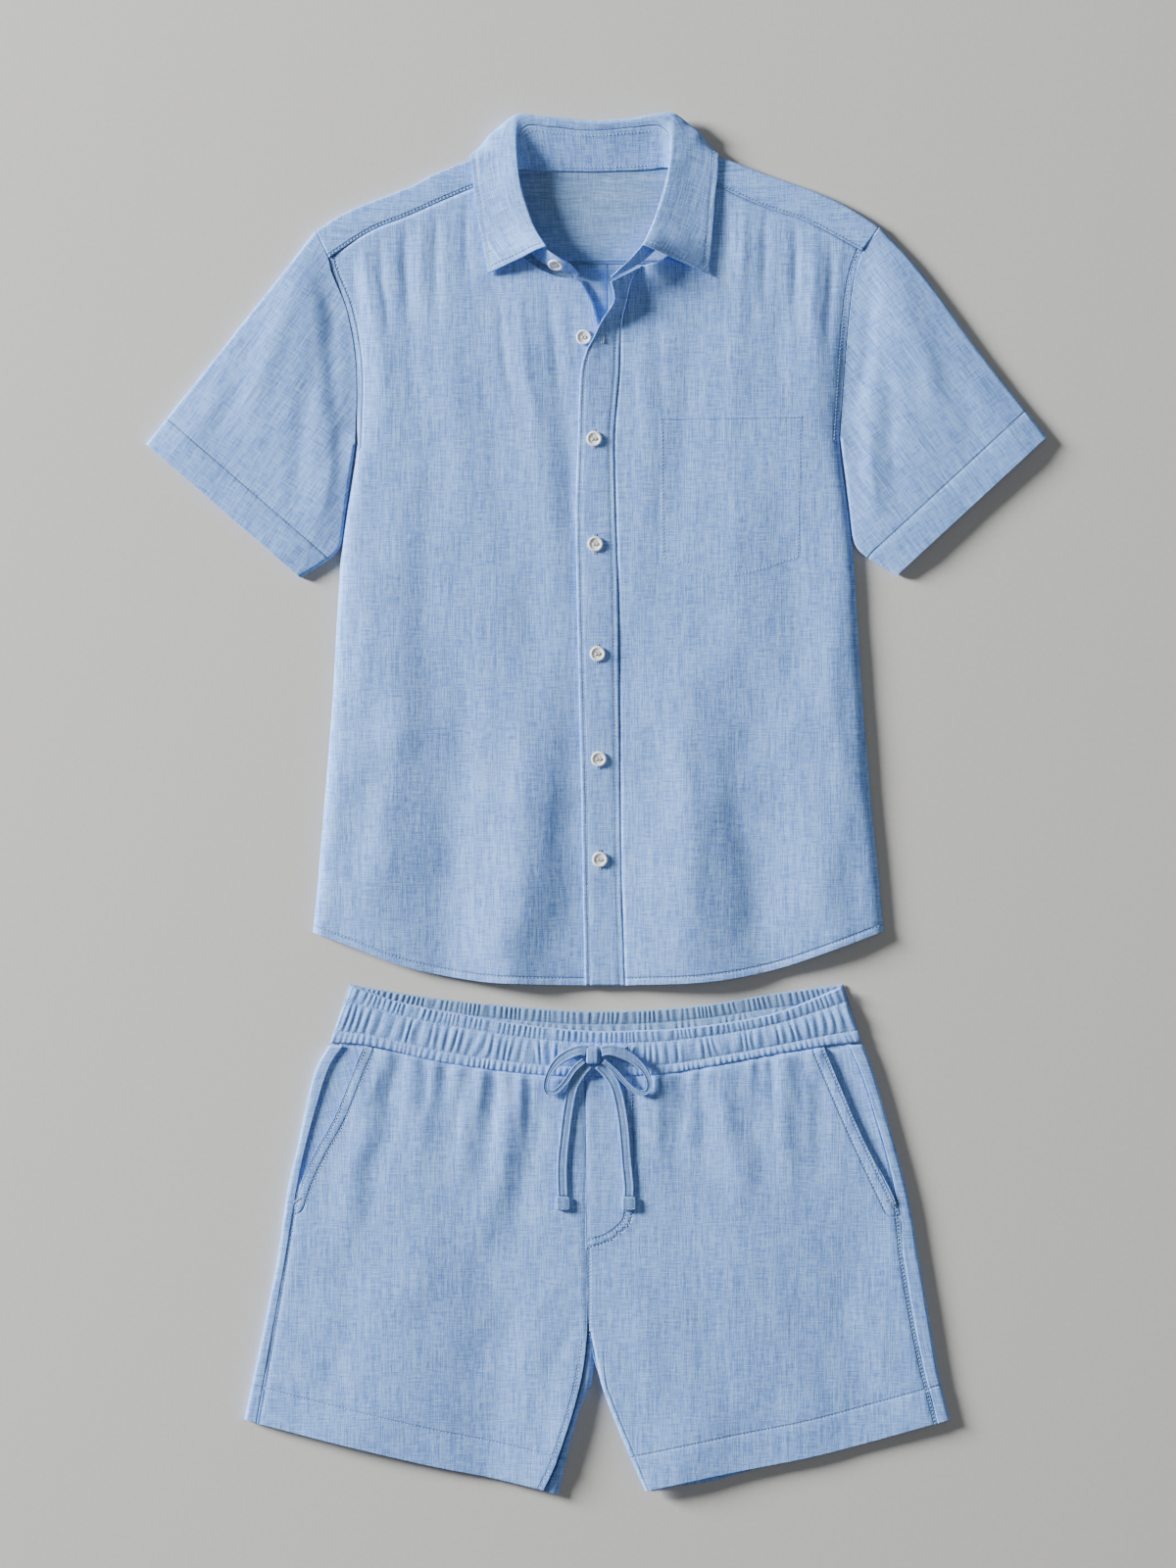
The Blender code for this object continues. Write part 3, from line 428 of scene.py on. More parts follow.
# A curve moved sideways by a distance: to its left with a positive one.
def beside(curve, distance, first=0.0, last=1.0, samples=80):
    t = np.linspace(first, last, samples)
    line = curveAt(curve, t)[:, :2]
    way = np.gradient(line, axis=0)
    way /= np.linalg.norm(way, axis=1)[:, None]
    return line + np.stack([-way[:, 1], way[:, 0]], -1) * distance


# Shirt: outlines as in the part, right and left as the viewer sees them.
shirt = {"loft": 5.2, "edge": 4.6, "seam": 0.35, "placketRise": 1.2, "sag": 0.75, "hem": 6.0, "fold": 0.9,
         "swell": 2.0, "valley": 2.0, "creases": 1.55, "waves": 1.7, "armholeStitch": 5.2, "yokeStitch": 2.2,
         "settle": 20, "swellIn": 6, "valleyWide": 17, "grid": 3.2}
shoulderLeft = [(-109, 558), (-143, 545), (-160, 536), (-217, 513), (-243, 497)]
shoulderRight = [(105, 561), (146, 546), (191, 530), (220, 516), (245, 500)]
yokeSeamLeft = [(-232, 473), (-196, 496), (-162, 510), (-135, 522), (-90, 541)]
yokeSeamRight = [(231, 479), (220, 485), (186, 503), (146, 517), (88, 543)]
armholeLeft = [(-232, 473), (-229, 461), (-216, 428), (-208, 378), (-209, 310)]
armholeRight = [(231, 479), (223, 454), (217, 402), (213, 347), (211, 316)]
sideLeft = [(-209, 310), (-221, 221), (-229, 90), (-237, -11), (-241, -59), (-246, -111)]
sideRight = [(211, 316), (222, 225), (231, 90), (238, 6), (245, -63), (249, -110)]
hemLeft = [(-246, -111), (-216, -122), (-165, -141), (-105, -153), (-58, -156), (-10, -157)]
hemRight = [(25, -157), (95, -154), (152, -144), (209, -125), (249, -110)]
neckLeft = [(-90, 541), (-83, 505), (-70, 480), (-50, 464), (-30, 456), (-14, 454)]
neckRight = [(88, 543), (82, 505), (70, 482), (53, 470), (40, 466)]
edgeLeft = [(-14, 454), (-6, 442), (-1, 430), (5, 405), (12, 320), (14, 100), (18, -157)]
edgeRight = [(40, 466), (31, 455), (26, 435), (22, 417), (20, 372), (16, 320), (17, 255), (19, 187),
             (20, 96), (21, 17), (22, -63), (25, -157)]
placketFree = [(12, 450), (15, 440), (15, 433), (3, 415), (-3, 403), (-10, 390), (-14, 372),
               (-16, 320), (-18, 255), (-17, 187), (-15, 90), (-13, 6), (-12, -58), (-10, -157)]
placketLift = [(-157, 0), (300, 0), (350, 0.8), (390, 2.5), (415, 6), (435, 13), (450, 15)]
shirtFolds = [
    # centre x, tilt, width, upper y, lower y, height
    (-215, 0.02, 9, 470, 330, -0.8), (-190, 0.03, 9, 485, 300, 0.9), (-165, 0.05, 8, 495, 330, -0.8),
    (-138, 0.10, 10, 500, 210, 0.8), (-105, 0.12, 12, 470, 160, -0.7), (-60, 0.10, 12, 450, 120, 0.9),
    (-36, 0.08, 9, 440, 200, -0.7), (60, -0.10, 11, 450, 160, 0.8), (95, -0.12, 11, 480, 180, -0.8),
    (130, -0.08, 10, 505, 240, 0.8), (160, -0.02, 8, 500, 330, -0.7), (190, 0.0, 9, 490, 330, 0.8),
    (-160, -0.12, 18, 160, -140, 0.9), (-110, -0.10, 16, 120, -150, -0.8), (-60, 0.02, 18, 90, -150, 0.8),
    (70, 0.05, 16, 110, -150, 0.8), (110, 0.15, 16, 100, -150, -0.8), (160, 0.14, 18, 150, -140, 0.9)]
shirtCreases = [
    # x and y of both ends, width, height
    (-213, 480, -205, 380, 5, -0.8), (-200, 490, -195, 400, 4, 0.5), (-186, 497, -182, 400, 4, -0.7),
    (-166, 507, -163, 420, 4, -0.8), (-152, 512, -150, 430, 4, 0.5), (-139, 520, -138, 410, 4, -0.7),
    (-114, 528, -112, 440, 4, -0.6), (-88, 455, -72, 330, 4, -0.6), (-70, 455, -52, 300, 5, 0.6),
    (-46, 458, -31, 350, 4, -0.5), (-33, 440, -22, 360, 4, 0.35), (-24, 320, -22, 230, 3.5, -0.25),
    (-182, 105, -211, -70, 16, -0.9), (-140, 330, -150, 60, 14, -0.6), (-95, 200, -100, -60, 16, 0.6),
    (-60, 250, -55, 40, 13, -0.6), (-40, 80, -46, -130, 10, 0.5), (112, 60, 140, -120, 14, -0.9),
    (75, 120, 88, -130, 13, 0.6), (52, 440, 58, 330, 5, -0.4), (40, 420, 43, 320, 5, 0.3),
    (112, 532, 112, 440, 4, -0.6), (128, 524, 126, 430, 4, 0.5), (146, 516, 148, 420, 4, -0.7),
    (172, 508, 172, 410, 4, -0.8), (187, 503, 187, 400, 4, 0.5), (203, 493, 200, 385, 4.5, -0.8),
    (216, 485, 209, 380, 4, -0.6), (160, 330, 172, 60, 15, -0.6), (120, 300, 118, 120, 13, 0.5),
    (200, 200, 212, 0, 10, 0.5), (-200, 230, -205, 40, 9, 0.5)]
# Broad waves of the lower body.
shirtWaves = [
    # x and y of both ends, width, height
    (-165, 300, -198, -160, 33, 2.0), (-56, 140, -86, -350, 26, 2.6), (0, 60, 0, -330, 38, -1.3),
    (88, 170, 98, -360, 42, 2.2), (140, 120, 156, -300, 22, -1.1), (198, 190, 206, -250, 20, 1.0),
    (-120, 60, -140, -330, 22, -1.0)]


# How far the body's cloth stands up, away from the collar.
def swell(x, y):
    return shirt["swell"] * smoothStep(-y, -470, -380) + shirt["waves"] * creasesAt(x, y, shirtWaves)


def foldsAt(x, y):
    total = np.zeros(np.shape(x))
    for centre, tilt, width, upper, lower, height in shirtFolds:
        along = np.clip((upper - y) / (upper - lower), 0.0, 1.0)
        across = (x - centre - tilt * (upper - y)) / width
        total = total + height * np.exp(-across ** 2) * np.sin(math.pi * along)
    return total * shirt["fold"]


def shirtSurface(side, hem, under):
    def surface(x, y):
        edge = distanceTo(x, y, side)
        settle = np.clip(edge / shirt["settle"], 0.0, 1.0)
        folds = foldsAt(x, y) + shirt["creases"] * creasesAt(x, y, shirtCreases)
        z = shirt["loft"] + folds * settle + crumple(x, y)
        z = z + swell(x, y) * (1 - np.exp(-(edge / shirt["swellIn"]) ** 2))
        armpit = smoothStep(y, 270, 350) * smoothStep(-y, -500, -450)
        z = z - shirt["valley"] * np.exp(-(edge / shirt["valleyWide"]) ** 2) * armpit
        if under:
            lies = np.clip((x + 62) / 40, 0, 1) * np.clip((415 - y) / 40, 0, 1)
            z = z - shirt["sag"] * lies - 0.4 * lies * np.clip(crumple(x, y), 0, 1)
        fromHem = distanceTo(x, y, hem)
        z = z + hemRelief(fromHem, shirt["hem"], 0.4, 0.6) * np.clip(edge / 3, 0, 1)
        z = z + 0.14 * softNoise(x * 2, y * 2, 9, 21) * np.exp(-fromHem / 9)
        radius = 0.5 + (shirt["edge"] - 0.5) * smoothStep(-y, -345, -300)
        return turned(edge, z, radius)
    return surface


def frontSeams(x, y, armhole, hem):
    return seamField((distanceTo(x, y, armhole) - shirt["armholeStitch"], smoothStep(y, 300, 312)),
                     (distanceTo(x, y, hem) - shirt["hem"], 0.9))


# Top and outer edges of a front, a gap in from its seams. The sign is 1 on the left and -1 on the right.
def bodyEdges(yokeSeam, armhole, side, sign):
    gap = shirt["seam"]
    corner = (yokeSeam[0][0] + sign * gap, yokeSeam[0][1] - gap)
    top = [corner] + [(x, y - gap) for x, y in yokeSeam[1:]]
    outer = [corner] + [(x + sign * gap, y) for x, y in armhole[1:-1]]
    return top, outer + [(x + sign * 0.1, y) for x, y in side]


def buildShirtFronts():
    top, left = bodyEdges(yokeSeamLeft, armholeLeft, sideLeft, 1)
    right = [top[-1]] + neckLeft[1:] + edgeLeft[1:]
    plan = patch(top, [left[-1]] + hemLeft[1:] + [edgeLeft[-1]], left, right)
    hem = hemLeft + [edgeLeft[-1]]
    surface = shirtSurface(armholeLeft + sideLeft[1:], hem, True)
    x, y = panelGrid(plan, shirt["grid"], fineEdge, level, level, fineEdge)
    points = np.stack([x, y, surface(x, y)], -1)
    clothPiece("shirtFrontLeftCloth", "shirt_front_left", points, turnedGrain(x, y, 0),
               restsOn=["shirt_back"], seams=frontSeams(x, y, armholeLeft, hem))
    sew("shirtStitching", beside(armholeLeft, shirt["armholeStitch"], 0.02, 1.0), surface)
    sew("shirtStitching", beside(hemLeft, shirt["hem"], 0.0, 0.93, 160), surface)
    leftSurface = surface

    top, right = bodyEdges(yokeSeamRight, armholeRight, sideRight, -1)
    top.reverse()
    left = [top[0]] + neckRight[1:] + edgeRight[1:]
    plan = patch(top, [left[-1]] + hemRight[1:-1] + [right[-1]], left, right)
    surface = shirtSurface(armholeRight + sideRight[1:], hemRight, False)
    x, y = panelGrid(plan, shirt["grid"], level, fineEdge, level, fineEdge)
    points = np.stack([x, y, surface(x, y)], -1)
    clothPiece("shirtFrontRightCloth", "shirt_front_right", points, turnedGrain(x + 700, y, 0),
               restsOn=["shirt_back"], seams=frontSeams(x, y, armholeRight, hemRight))
    sew("shirtStitching", beside(armholeRight, -shirt["armholeStitch"], 0.02, 1.0), surface)
    sew("shirtStitching", beside(hemRight, shirt["hem"], 0.01, 1.0, 160), surface)
    return leftSurface, surface


leftSurface, rightSurface = buildShirtFronts()
print("stage: shirt fronts")


# Placket: a doubled strip whose free edge lifts towards the neck.
placket = {"stitchIn": 4.2, "puff": 0.25, "creases": 0.5, "crumple": 0.8, "middleRise": 0.78}


def placketCloth(x, y, rise):
    z = shirt["loft"] + shirt["placketRise"] * rise + swell(x, y) + foldsAt(x, y)
    return z + creasesAt(x, y, shirtCreases) * placket["creases"] + crumple(x, y, 9) * placket["crumple"]


def buildPlacket():
    rows = 420
    t = np.linspace(0, 1, rows)
    free, seam = curveAt(placketFree, t), curveAt(edgeRight, t) - np.array([shirt["seam"], 0.0])
    width = np.linalg.norm(free - seam, axis=1)
    lift = np.interp(free[:, 1], [r[0] for r in placketLift], [r[1] for r in placketLift])
    s = np.stack([spread(w, 12, fineEdge[:9], fineEdge[:9]) for w in width])
    x = free[:, :1] * (1 - s) + seam[:, :1] * s
    y = free[:, 1:] * (1 - s) + seam[:, 1:] * s
    side = np.minimum(s, 1 - s) * width[:, None]
    z = placketCloth(x, y, 1 - 0.5 * s) + lift[:, None] * (1 - s) ** 1.3
    z = z + placket["puff"] * np.clip((side - placket["stitchIn"]) / 5, 0, 1)
    z = z - 0.4 * np.exp(-((side - placket["stitchIn"]) / 0.9) ** 2)
    z = z - 0.8 * (1 - np.clip(side / 1.2, 0, 1)) ** 2
    points = np.stack([x, y, z], -1)
    clothPiece("placketCloth", "front_placket", points, turnedGrain(x - 900, y, 0), 1.1,
               restsOn=["shirt_front_left"])
    for inset in (placket["stitchIn"], -placket["stitchIn"]):
        share = inset / width if inset > 0 else 1 + inset / width
        line = np.array([[np.interp(share[j], s[j], points[j, :, k]) for k in range(3)] for j in range(rows)])
        stitchLines["shirtStitching"].append((line + (0, 0, stitchLift["cloth"]))[:-6])


# The cloth along the placket's middle, where buttons and buttonholes lie.
def placketSurface(x, y):
    return placketCloth(x, y, placket["middleRise"]) + placket["puff"]


buildPlacket()


# Back: plain, with the box pleat that shows inside the neck. It lies in shade there and takes the linen in
# painted shade.
back = {"yokeY": 468, "pleatLeft": -20, "pleatRight": 10, "pleatRise": 1.3, "level": 1.2}


def buildBack():
    y0 = back["yokeY"] - shirt["seam"]
    top = [(-224, y0), (-2, y0), (222, y0)]
    left = [top[0], (-211, 428), (-203, 378), (-204, 310), (-216, 221), (-226, 90), (-235, -11), (-244, -111)]
    right = [top[-1], (211, 402), (207, 347), (206, 316), (217, 225), (228, 90), (236, 6), (247, -110)]
    bottom = [(-244, -111), (-165, -140), (-58, -155), (30, -155), (152, -143), (247, -110)]
    plan = patch(top, bottom, left, right)
    x, y = panelGrid(plan, 5.0, level, level, level, fineEdge)
    rise = np.clip((y + 60) / 300, 0, 1) * back["pleatRise"]
    inside = np.minimum(x - back["pleatLeft"], back["pleatRight"] - x)
    pleats = seamField((x - back["pleatLeft"], 1.0), (x - back["pleatRight"], 1.0))
    uneven = 0.25 * softNoise(x, y, 22, 3) * np.clip((470 - y) / 30, 0, 1)
    z = back["level"] + rise * smoothStep(inside, -3.0, 3.0) + uneven
    points = np.stack([x, y, z], -1)
    clothPiece("shirtBackCloth", "shirt_back", points, turnedGrain(x, y + 900, 0), 0.7, paintedShadeLinen,
               seams=pleats)


# Yoke: how far its turn at the shoulder goes in from the fold line, and its rows of points.
yoke = {"turnIn": 2.4, "neckRows": 26, "turnRows": 11, "frontRows": 16}


def flatAt(height):
    def surface(x, y):
        return np.full(np.shape(x), height)
    return surface


def buildYoke():
    n = 70
    ends = np.linspace(0, 1, n)
    left = curveAt(list(reversed(shoulderLeft)) + [(-80, 562)], ends)
    right = curveAt([(77, 564)] + shoulderRight, ends)
    neck = curveAt([(-66, 556), (-50, 554), (-28, 553), (-3, 553), (24, 553), (46, 554), (61, 556)],
                   np.linspace(0, 1, 36))
    left[0] += (0.7, 0.0)
    right[-1] -= (1.2, 0.0)
    foldLine = np.concatenate([left, neck, right])
    low = np.column_stack([foldLine[:, 0] * 0.93, np.full(len(foldLine), float(back["yokeY"]))])
    seamLeft, seamRight = curveAt(yokeSeamLeft, ends), curveAt(list(reversed(yokeSeamRight)), ends)
    seamLeft[0] += (0.6, 0.0)
    seamRight[-1] -= (0.6, 0.0)
    seam = np.concatenate([seamLeft, neck, seamRight])
    inNeck = np.zeros(len(foldLine), bool)
    inNeck[n:-n] = True
    rows = []
    for s in np.linspace(0, 0.97, yoke["neckRows"]):
        p = low * (1 - s) + foldLine * s
        z = 0.8 + 0.2 * softNoise(p[:, 0], p[:, 1], 16, 8) - 0.8 * s ** 6
        rows.append(np.column_stack([p, z]))
    for angle in np.linspace(-90, 90, yoke["turnRows"]):
        c, s = math.cos(math.radians(angle)), math.sin(math.radians(angle))
        inset = yoke["turnIn"] * (1 - c)
        z = shirt["loft"] / 2 * (1 + s)
        p = foldLine - np.column_stack([np.zeros(len(foldLine)), np.where(inNeck, 0, inset)])
        rows.append(np.column_stack([p, np.where(inNeck, 0.0, z)]))
    for s in np.linspace(0.06, 1, yoke["frontRows"]):
        p = (foldLine - (0, yoke["turnIn"])) * (1 - s) + seam * s
        z = shirt["loft"] + 0.5 * crumple(p[:, 0] * 1.5, p[:, 1] * 1.5, 12) * s + 0.25 * math.sin(math.pi * s)
        rows.append(np.column_stack([p, np.where(inNeck, 0.0, z)]))
    points = np.stack(rows)
    keep = np.ones((len(rows) - 1, len(foldLine) - 1), bool)
    turnFrom, frontFrom = yoke["neckRows"], yoke["neckRows"] + yoke["turnRows"]
    keep[turnFrom:, n - 1:len(foldLine) - n] = False
    keep[turnFrom - 1:, n:len(foldLine) - n - 1] = False
    grain = np.stack([points[..., 1] + 6 * points[..., 2], points[..., 0] + 1500], -1)
    # The yoke's inner side, seen inside the neck, takes the linen in painted shade.
    inner = (np.arange(len(rows) - 1) < turnFrom - 1)[:, None] & np.ones_like(keep)
    x, y = points[..., 0], points[..., 1]
    front = (np.arange(len(rows)) >= frontFrom)[:, None]
    inset = shirt["yokeStitch"]
    seams = seamField((distanceTo(x, y, yokeSeamLeft) - inset, front * (x < -80)),
                      (distanceTo(x, y, yokeSeamRight) - inset, front * (x > 80)),
                      (y - back["yokeY"] - 2.0, 1.0 - front))
    clothPiece("yokeCloth", "shirt_yoke", points, grain, 0.8, keep=keep, flat=(0.49, 0.14),
               inside=inner[keep], seams=seams)
    top = flatAt(shirt["loft"] + 0.2)
    sew("shirtStitching", beside(yokeSeamLeft, inset, 0.02, 0.9), top)
    sew("shirtStitching", beside(yokeSeamRight, -inset, 0.02, 0.9), top)
    line = np.column_stack([np.linspace(-60, 60, 40), np.full(40, back["yokeY"] + 2.0)])
    sew("shirtStitching", line, flatAt(1.0))


buildBack()
buildYoke()
print("stage: back and yoke")


# Sleeves: flattened tubes with a deep hem; creases start at the armhole.
sleeves = {"swell": 2.2, "creases": 1.4, "hem": 29.0}
sleeveCuts = {
    "Left": {"outer": [(-243, 497), (-307, 416), (-390, 312)],
             "under": [(-209, 310), (-213, 282), (-218, 246), (-221.5, 223), (-230, 213), (-256, 196)],
             "hem": [(-390, 312), (-256, 196)],
             "armhole": [(-243, 497), (-232, 473), (-229, 461), (-216, 428), (-208, 378), (-209, 310)],
             "angle": -35, "shift": -0.3,
             "creases": [(-238, 462, -222, 330, 8, -1.3), (-262, 455, -300, 330, 11, 0.8),
                         (-240, 420, -262, 250, 9, -0.8), (-285, 420, -335, 300, 10, -0.7),
                         (-228, 330, -236, 240, 6, 0.6)]},
    "Right": {"outer": [(245, 500), (280, 462), (333, 390), (390, 318)],
              "under": [(211, 316), (215, 283), (219, 249), (222.5, 227), (231, 216), (260, 198)],
              "hem": [(390, 318), (260, 198)],
              "armhole": [(245, 500), (231, 479), (223, 454), (217, 402), (213, 347), (211, 316)],
              "angle": 36, "shift": 0.3,
              "creases": [(240, 465, 226, 330, 7, -1.1), (262, 455, 300, 330, 11, 0.8),
                          (243, 420, 262, 250, 9, -0.9), (288, 420, 335, 300, 10, -0.6),
                          (232, 330, 238, 240, 6, 0.6)]}}


def buildSleeve(side, cut):
    plan = patch(cut["armhole"], cut["hem"], cut["outer"], cut["under"])
    x, y = panelGrid(plan, shirt["grid"], fineEdge[:8], fineEdge[:8], (0.0, 0.8, 2.0, 3.5), fineEdge)
    shift, loft, hemWide = cut["shift"], shirt["loft"], sleeves["hem"]

    def fromEdges(px, py):
        return np.minimum(distanceTo(px, py, cut["outer"]), distanceTo(px, py, cut["under"]))

    def surface(px, py):
        edge = fromEdges(px, py)
        settle = np.clip(edge / 18, 0, 1)
        hem = distanceTo(px, py, cut["hem"])
        creases = sleeves["creases"] * creasesAt(px, py, cut["creases"]) * np.clip(hem / 40, 0.25, 1)
        z = loft - 0.1 + creases * settle
        near = np.exp(-(distanceTo(px, py, cut["armhole"][1:]) / 20) ** 2)
        low = smoothStep(-py, -500, -430)
        z = z + sleeves["swell"] * (1 - near) * np.clip(edge / 25, 0, 1)
        z = z - shirt["valley"] * near * settle * low
        z = z + crumple(px, py, 31) * 0.9 + hemRelief(hem, hemWide, 0.45, 0.7) * np.clip(edge / 3, 0, 1)
        z = z + 0.12 * softNoise(px * 2, py * 2, 9, 22) * np.exp(-np.abs(hem - hemWide) / 8)
        half = loft / 2
        z = np.where(edge < half, half + turned(edge, z - half, half), z)
        return np.maximum(z, half)

    upper = surface(x, y)
    lower = loft / 2 - turned(fromEdges(x, y), loft / 2, loft / 2)
    ringX = np.concatenate([x, x[:, -2:0:-1]], 1) + shift
    ringY = np.concatenate([y, y[:, -2:0:-1]], 1)
    ringZ = np.concatenate([upper, np.maximum(lower[:, -2:0:-1], 0.0)], 1)
    points = np.stack([ringX, ringY, ringZ], -1)
    seams = seamField((distanceTo(ringX - shift, ringY, cut["hem"]) - hemWide, 0.75))
    clothPiece("sleeve%sCloth" % side, "sleeve_" + side.lower(), points,
               turnedGrain(ringX, ringY, cut["angle"]), 0.8, closed=True, flip=shift > 0, seams=seams)
    way = hemWide if shift < 0 else -hemWide
    line = beside(cut["hem"], way, 0.01, 0.99, 60)
    sew("shirtStitching", line[2:-2] + (shift, 0), lambda px, py: surface(px - shift, py))


for sideName, cutTable in sleeveCuts.items():
    buildSleeve(sideName, cutTable)
print("stage: sleeves")


# Collar: the stand on the neckline and the leaf that rolls over it.
collar = {"wall": 1.2, "gap": 0.4, "stitchIn": 4.2, "flat": 8.2, "press": 0.58, "rightPress": 0.13,
          "standWall": 0.8}
stand = [
    # seam x, y, z, top x, y, z
    (-16, 456, 6.6, -15, 459, 9.0), (-25, 460, 6.6, -22, 466, 15.0), (-36, 464, 6.6, -33, 472, 20.0),
    (-50, 471, 6.6, -43, 479, 21.5), (-62, 485, 6.8, -53, 497, 22.0), (-72, 507, 7.0, -62, 524, 21.0),
    (-75, 532, 7.0, -67, 545, 20.0), (-71, 548, 4.8, -68, 558, 19.0), (-63, 550, 2.9, -67, 577, 17.5),
    (-52, 549, 2.1, -59, 586, 16.0), (-36, 548.5, 1.9, -40, 585, 14.5), (-4, 548, 1.9, -3, 582, 13.5),
    (30, 549, 1.9, 34, 585, 14.5), (48, 550, 2.1, 55, 586, 16.0), (58, 551.5, 2.9, 63, 578, 17.5),
    (66, 549, 5.5, 64, 560, 19.0), (70, 532, 7.0, 60, 541, 20.0), (67, 507, 7.0, 52, 512, 21.5),
    (58, 488, 7.0, 45, 494, 23.5), (48, 477, 7.2, 38.5, 481, 24.5), (39.5, 470, 8.0, 32, 473, 25.0),
    (32, 464.8, 10.5, 26, 466.5, 25.0), (25, 460.8, 13.5, 19.5, 461, 24.5),
    (18.5, 457, 17.5, 15.5, 457, 23.5), (13, 454, 20.5, 12.8, 455.2, 22.5)]
standMarks = (0, 0.03, 0.08, 0.14, 0.22, 0.3, 0.4, 0.5, 0.6, 0.7, 0.78, 0.86, 0.92, 0.97, 1.0)
leaf = [
    # crest x, y, z, fall x, y, z, middle x, y, z, outer x, y, z
    (-43, 480.5, 25.0, -51, 478, 23.0, -66, 471, 15.5, -94, 459, 8.2),
    (-53, 498.5, 25.5, -60, 496, 23.5, -75, 489, 15.5, -98, 480, 8.2),
    (-63, 525, 24.5, -70, 523, 22.5, -84, 517, 15.0, -102, 505, 8.2),
    (-67.5, 550, 23.5, -74, 547, 21.5, -87, 540, 14.5, -106, 530, 8.2),
    (-69, 570, 22.0, -75, 566, 20.0, -88, 557, 13.5, -108, 547, 7.8),
    (-70, 586, 20.5, -76, 583, 18.5, -89, 573, 13.0, -109, 557, 8.0),
    (-70, 594, 19.5, -78, 590, 16.0, -92, 579, 11.0, -110, 562, 6.0),
    (-63, 595, 18.5, -68, 597, 10.5, -80, 588, 2.5, -98, 570, 0.2),
    (-52, 594, 17.0, -54, 596, 9.0, -58, 589, 1.8, -66, 572, 0.2),
    (-36, 592, 16.5, -37, 594.5, 8.5, -38, 589, 1.8, -40, 572, 0.2),
    (-3, 589, 16.0, -3, 592, 8.0, -3, 587, 1.8, -3, 571, 0.2),
    (30, 591, 16.5, 31, 594, 8.5, 32, 589, 1.8, 34, 572, 0.2),
    (48, 595, 17.0, 50, 597, 9.0, 52, 590, 1.8, 60, 573, 0.2),
    (60, 596, 18.5, 65, 598, 10.5, 76, 590, 2.5, 93, 572, 0.2),
    (67, 596, 19.5, 74, 592, 16.0, 88, 581, 11.0, 105, 564, 6.0),
    (66, 588, 20.5, 72, 585, 18.5, 85, 574, 13.0, 105, 558, 8.0),
    (64.5, 570, 22.0, 71, 566, 20.0, 84, 558, 13.5, 105, 547, 7.8),
    (62.5, 552, 23.5, 69, 548, 21.5, 83, 540, 14.5, 103, 530, 8.2),
    (58, 528, 25.0, 65, 524, 23.0, 81, 516, 15.5, 101, 505, 8.2),
    (49.5, 504, 26.5, 57, 500, 24.5, 74, 490, 15.5, 99, 480, 8.2),
    (40, 482, 27.5, 48, 479, 25.0, 67, 471, 16.0, 97, 458, 8.2)]


# The collar is pressed down, a little more on its right side. Its front stays up, as the placket does.
def pressed(points):
    high = np.maximum(points[..., 2] - collar["flat"], 0.0)
    press = collar["press"] + collar["rightPress"] * smoothStep(points[..., 0], 0, 60)
    share = press * smoothStep(points[..., 1], 472, 502)
    return np.concatenate([points[..., :2], (points[..., 2] - high * share)[..., None]], -1)


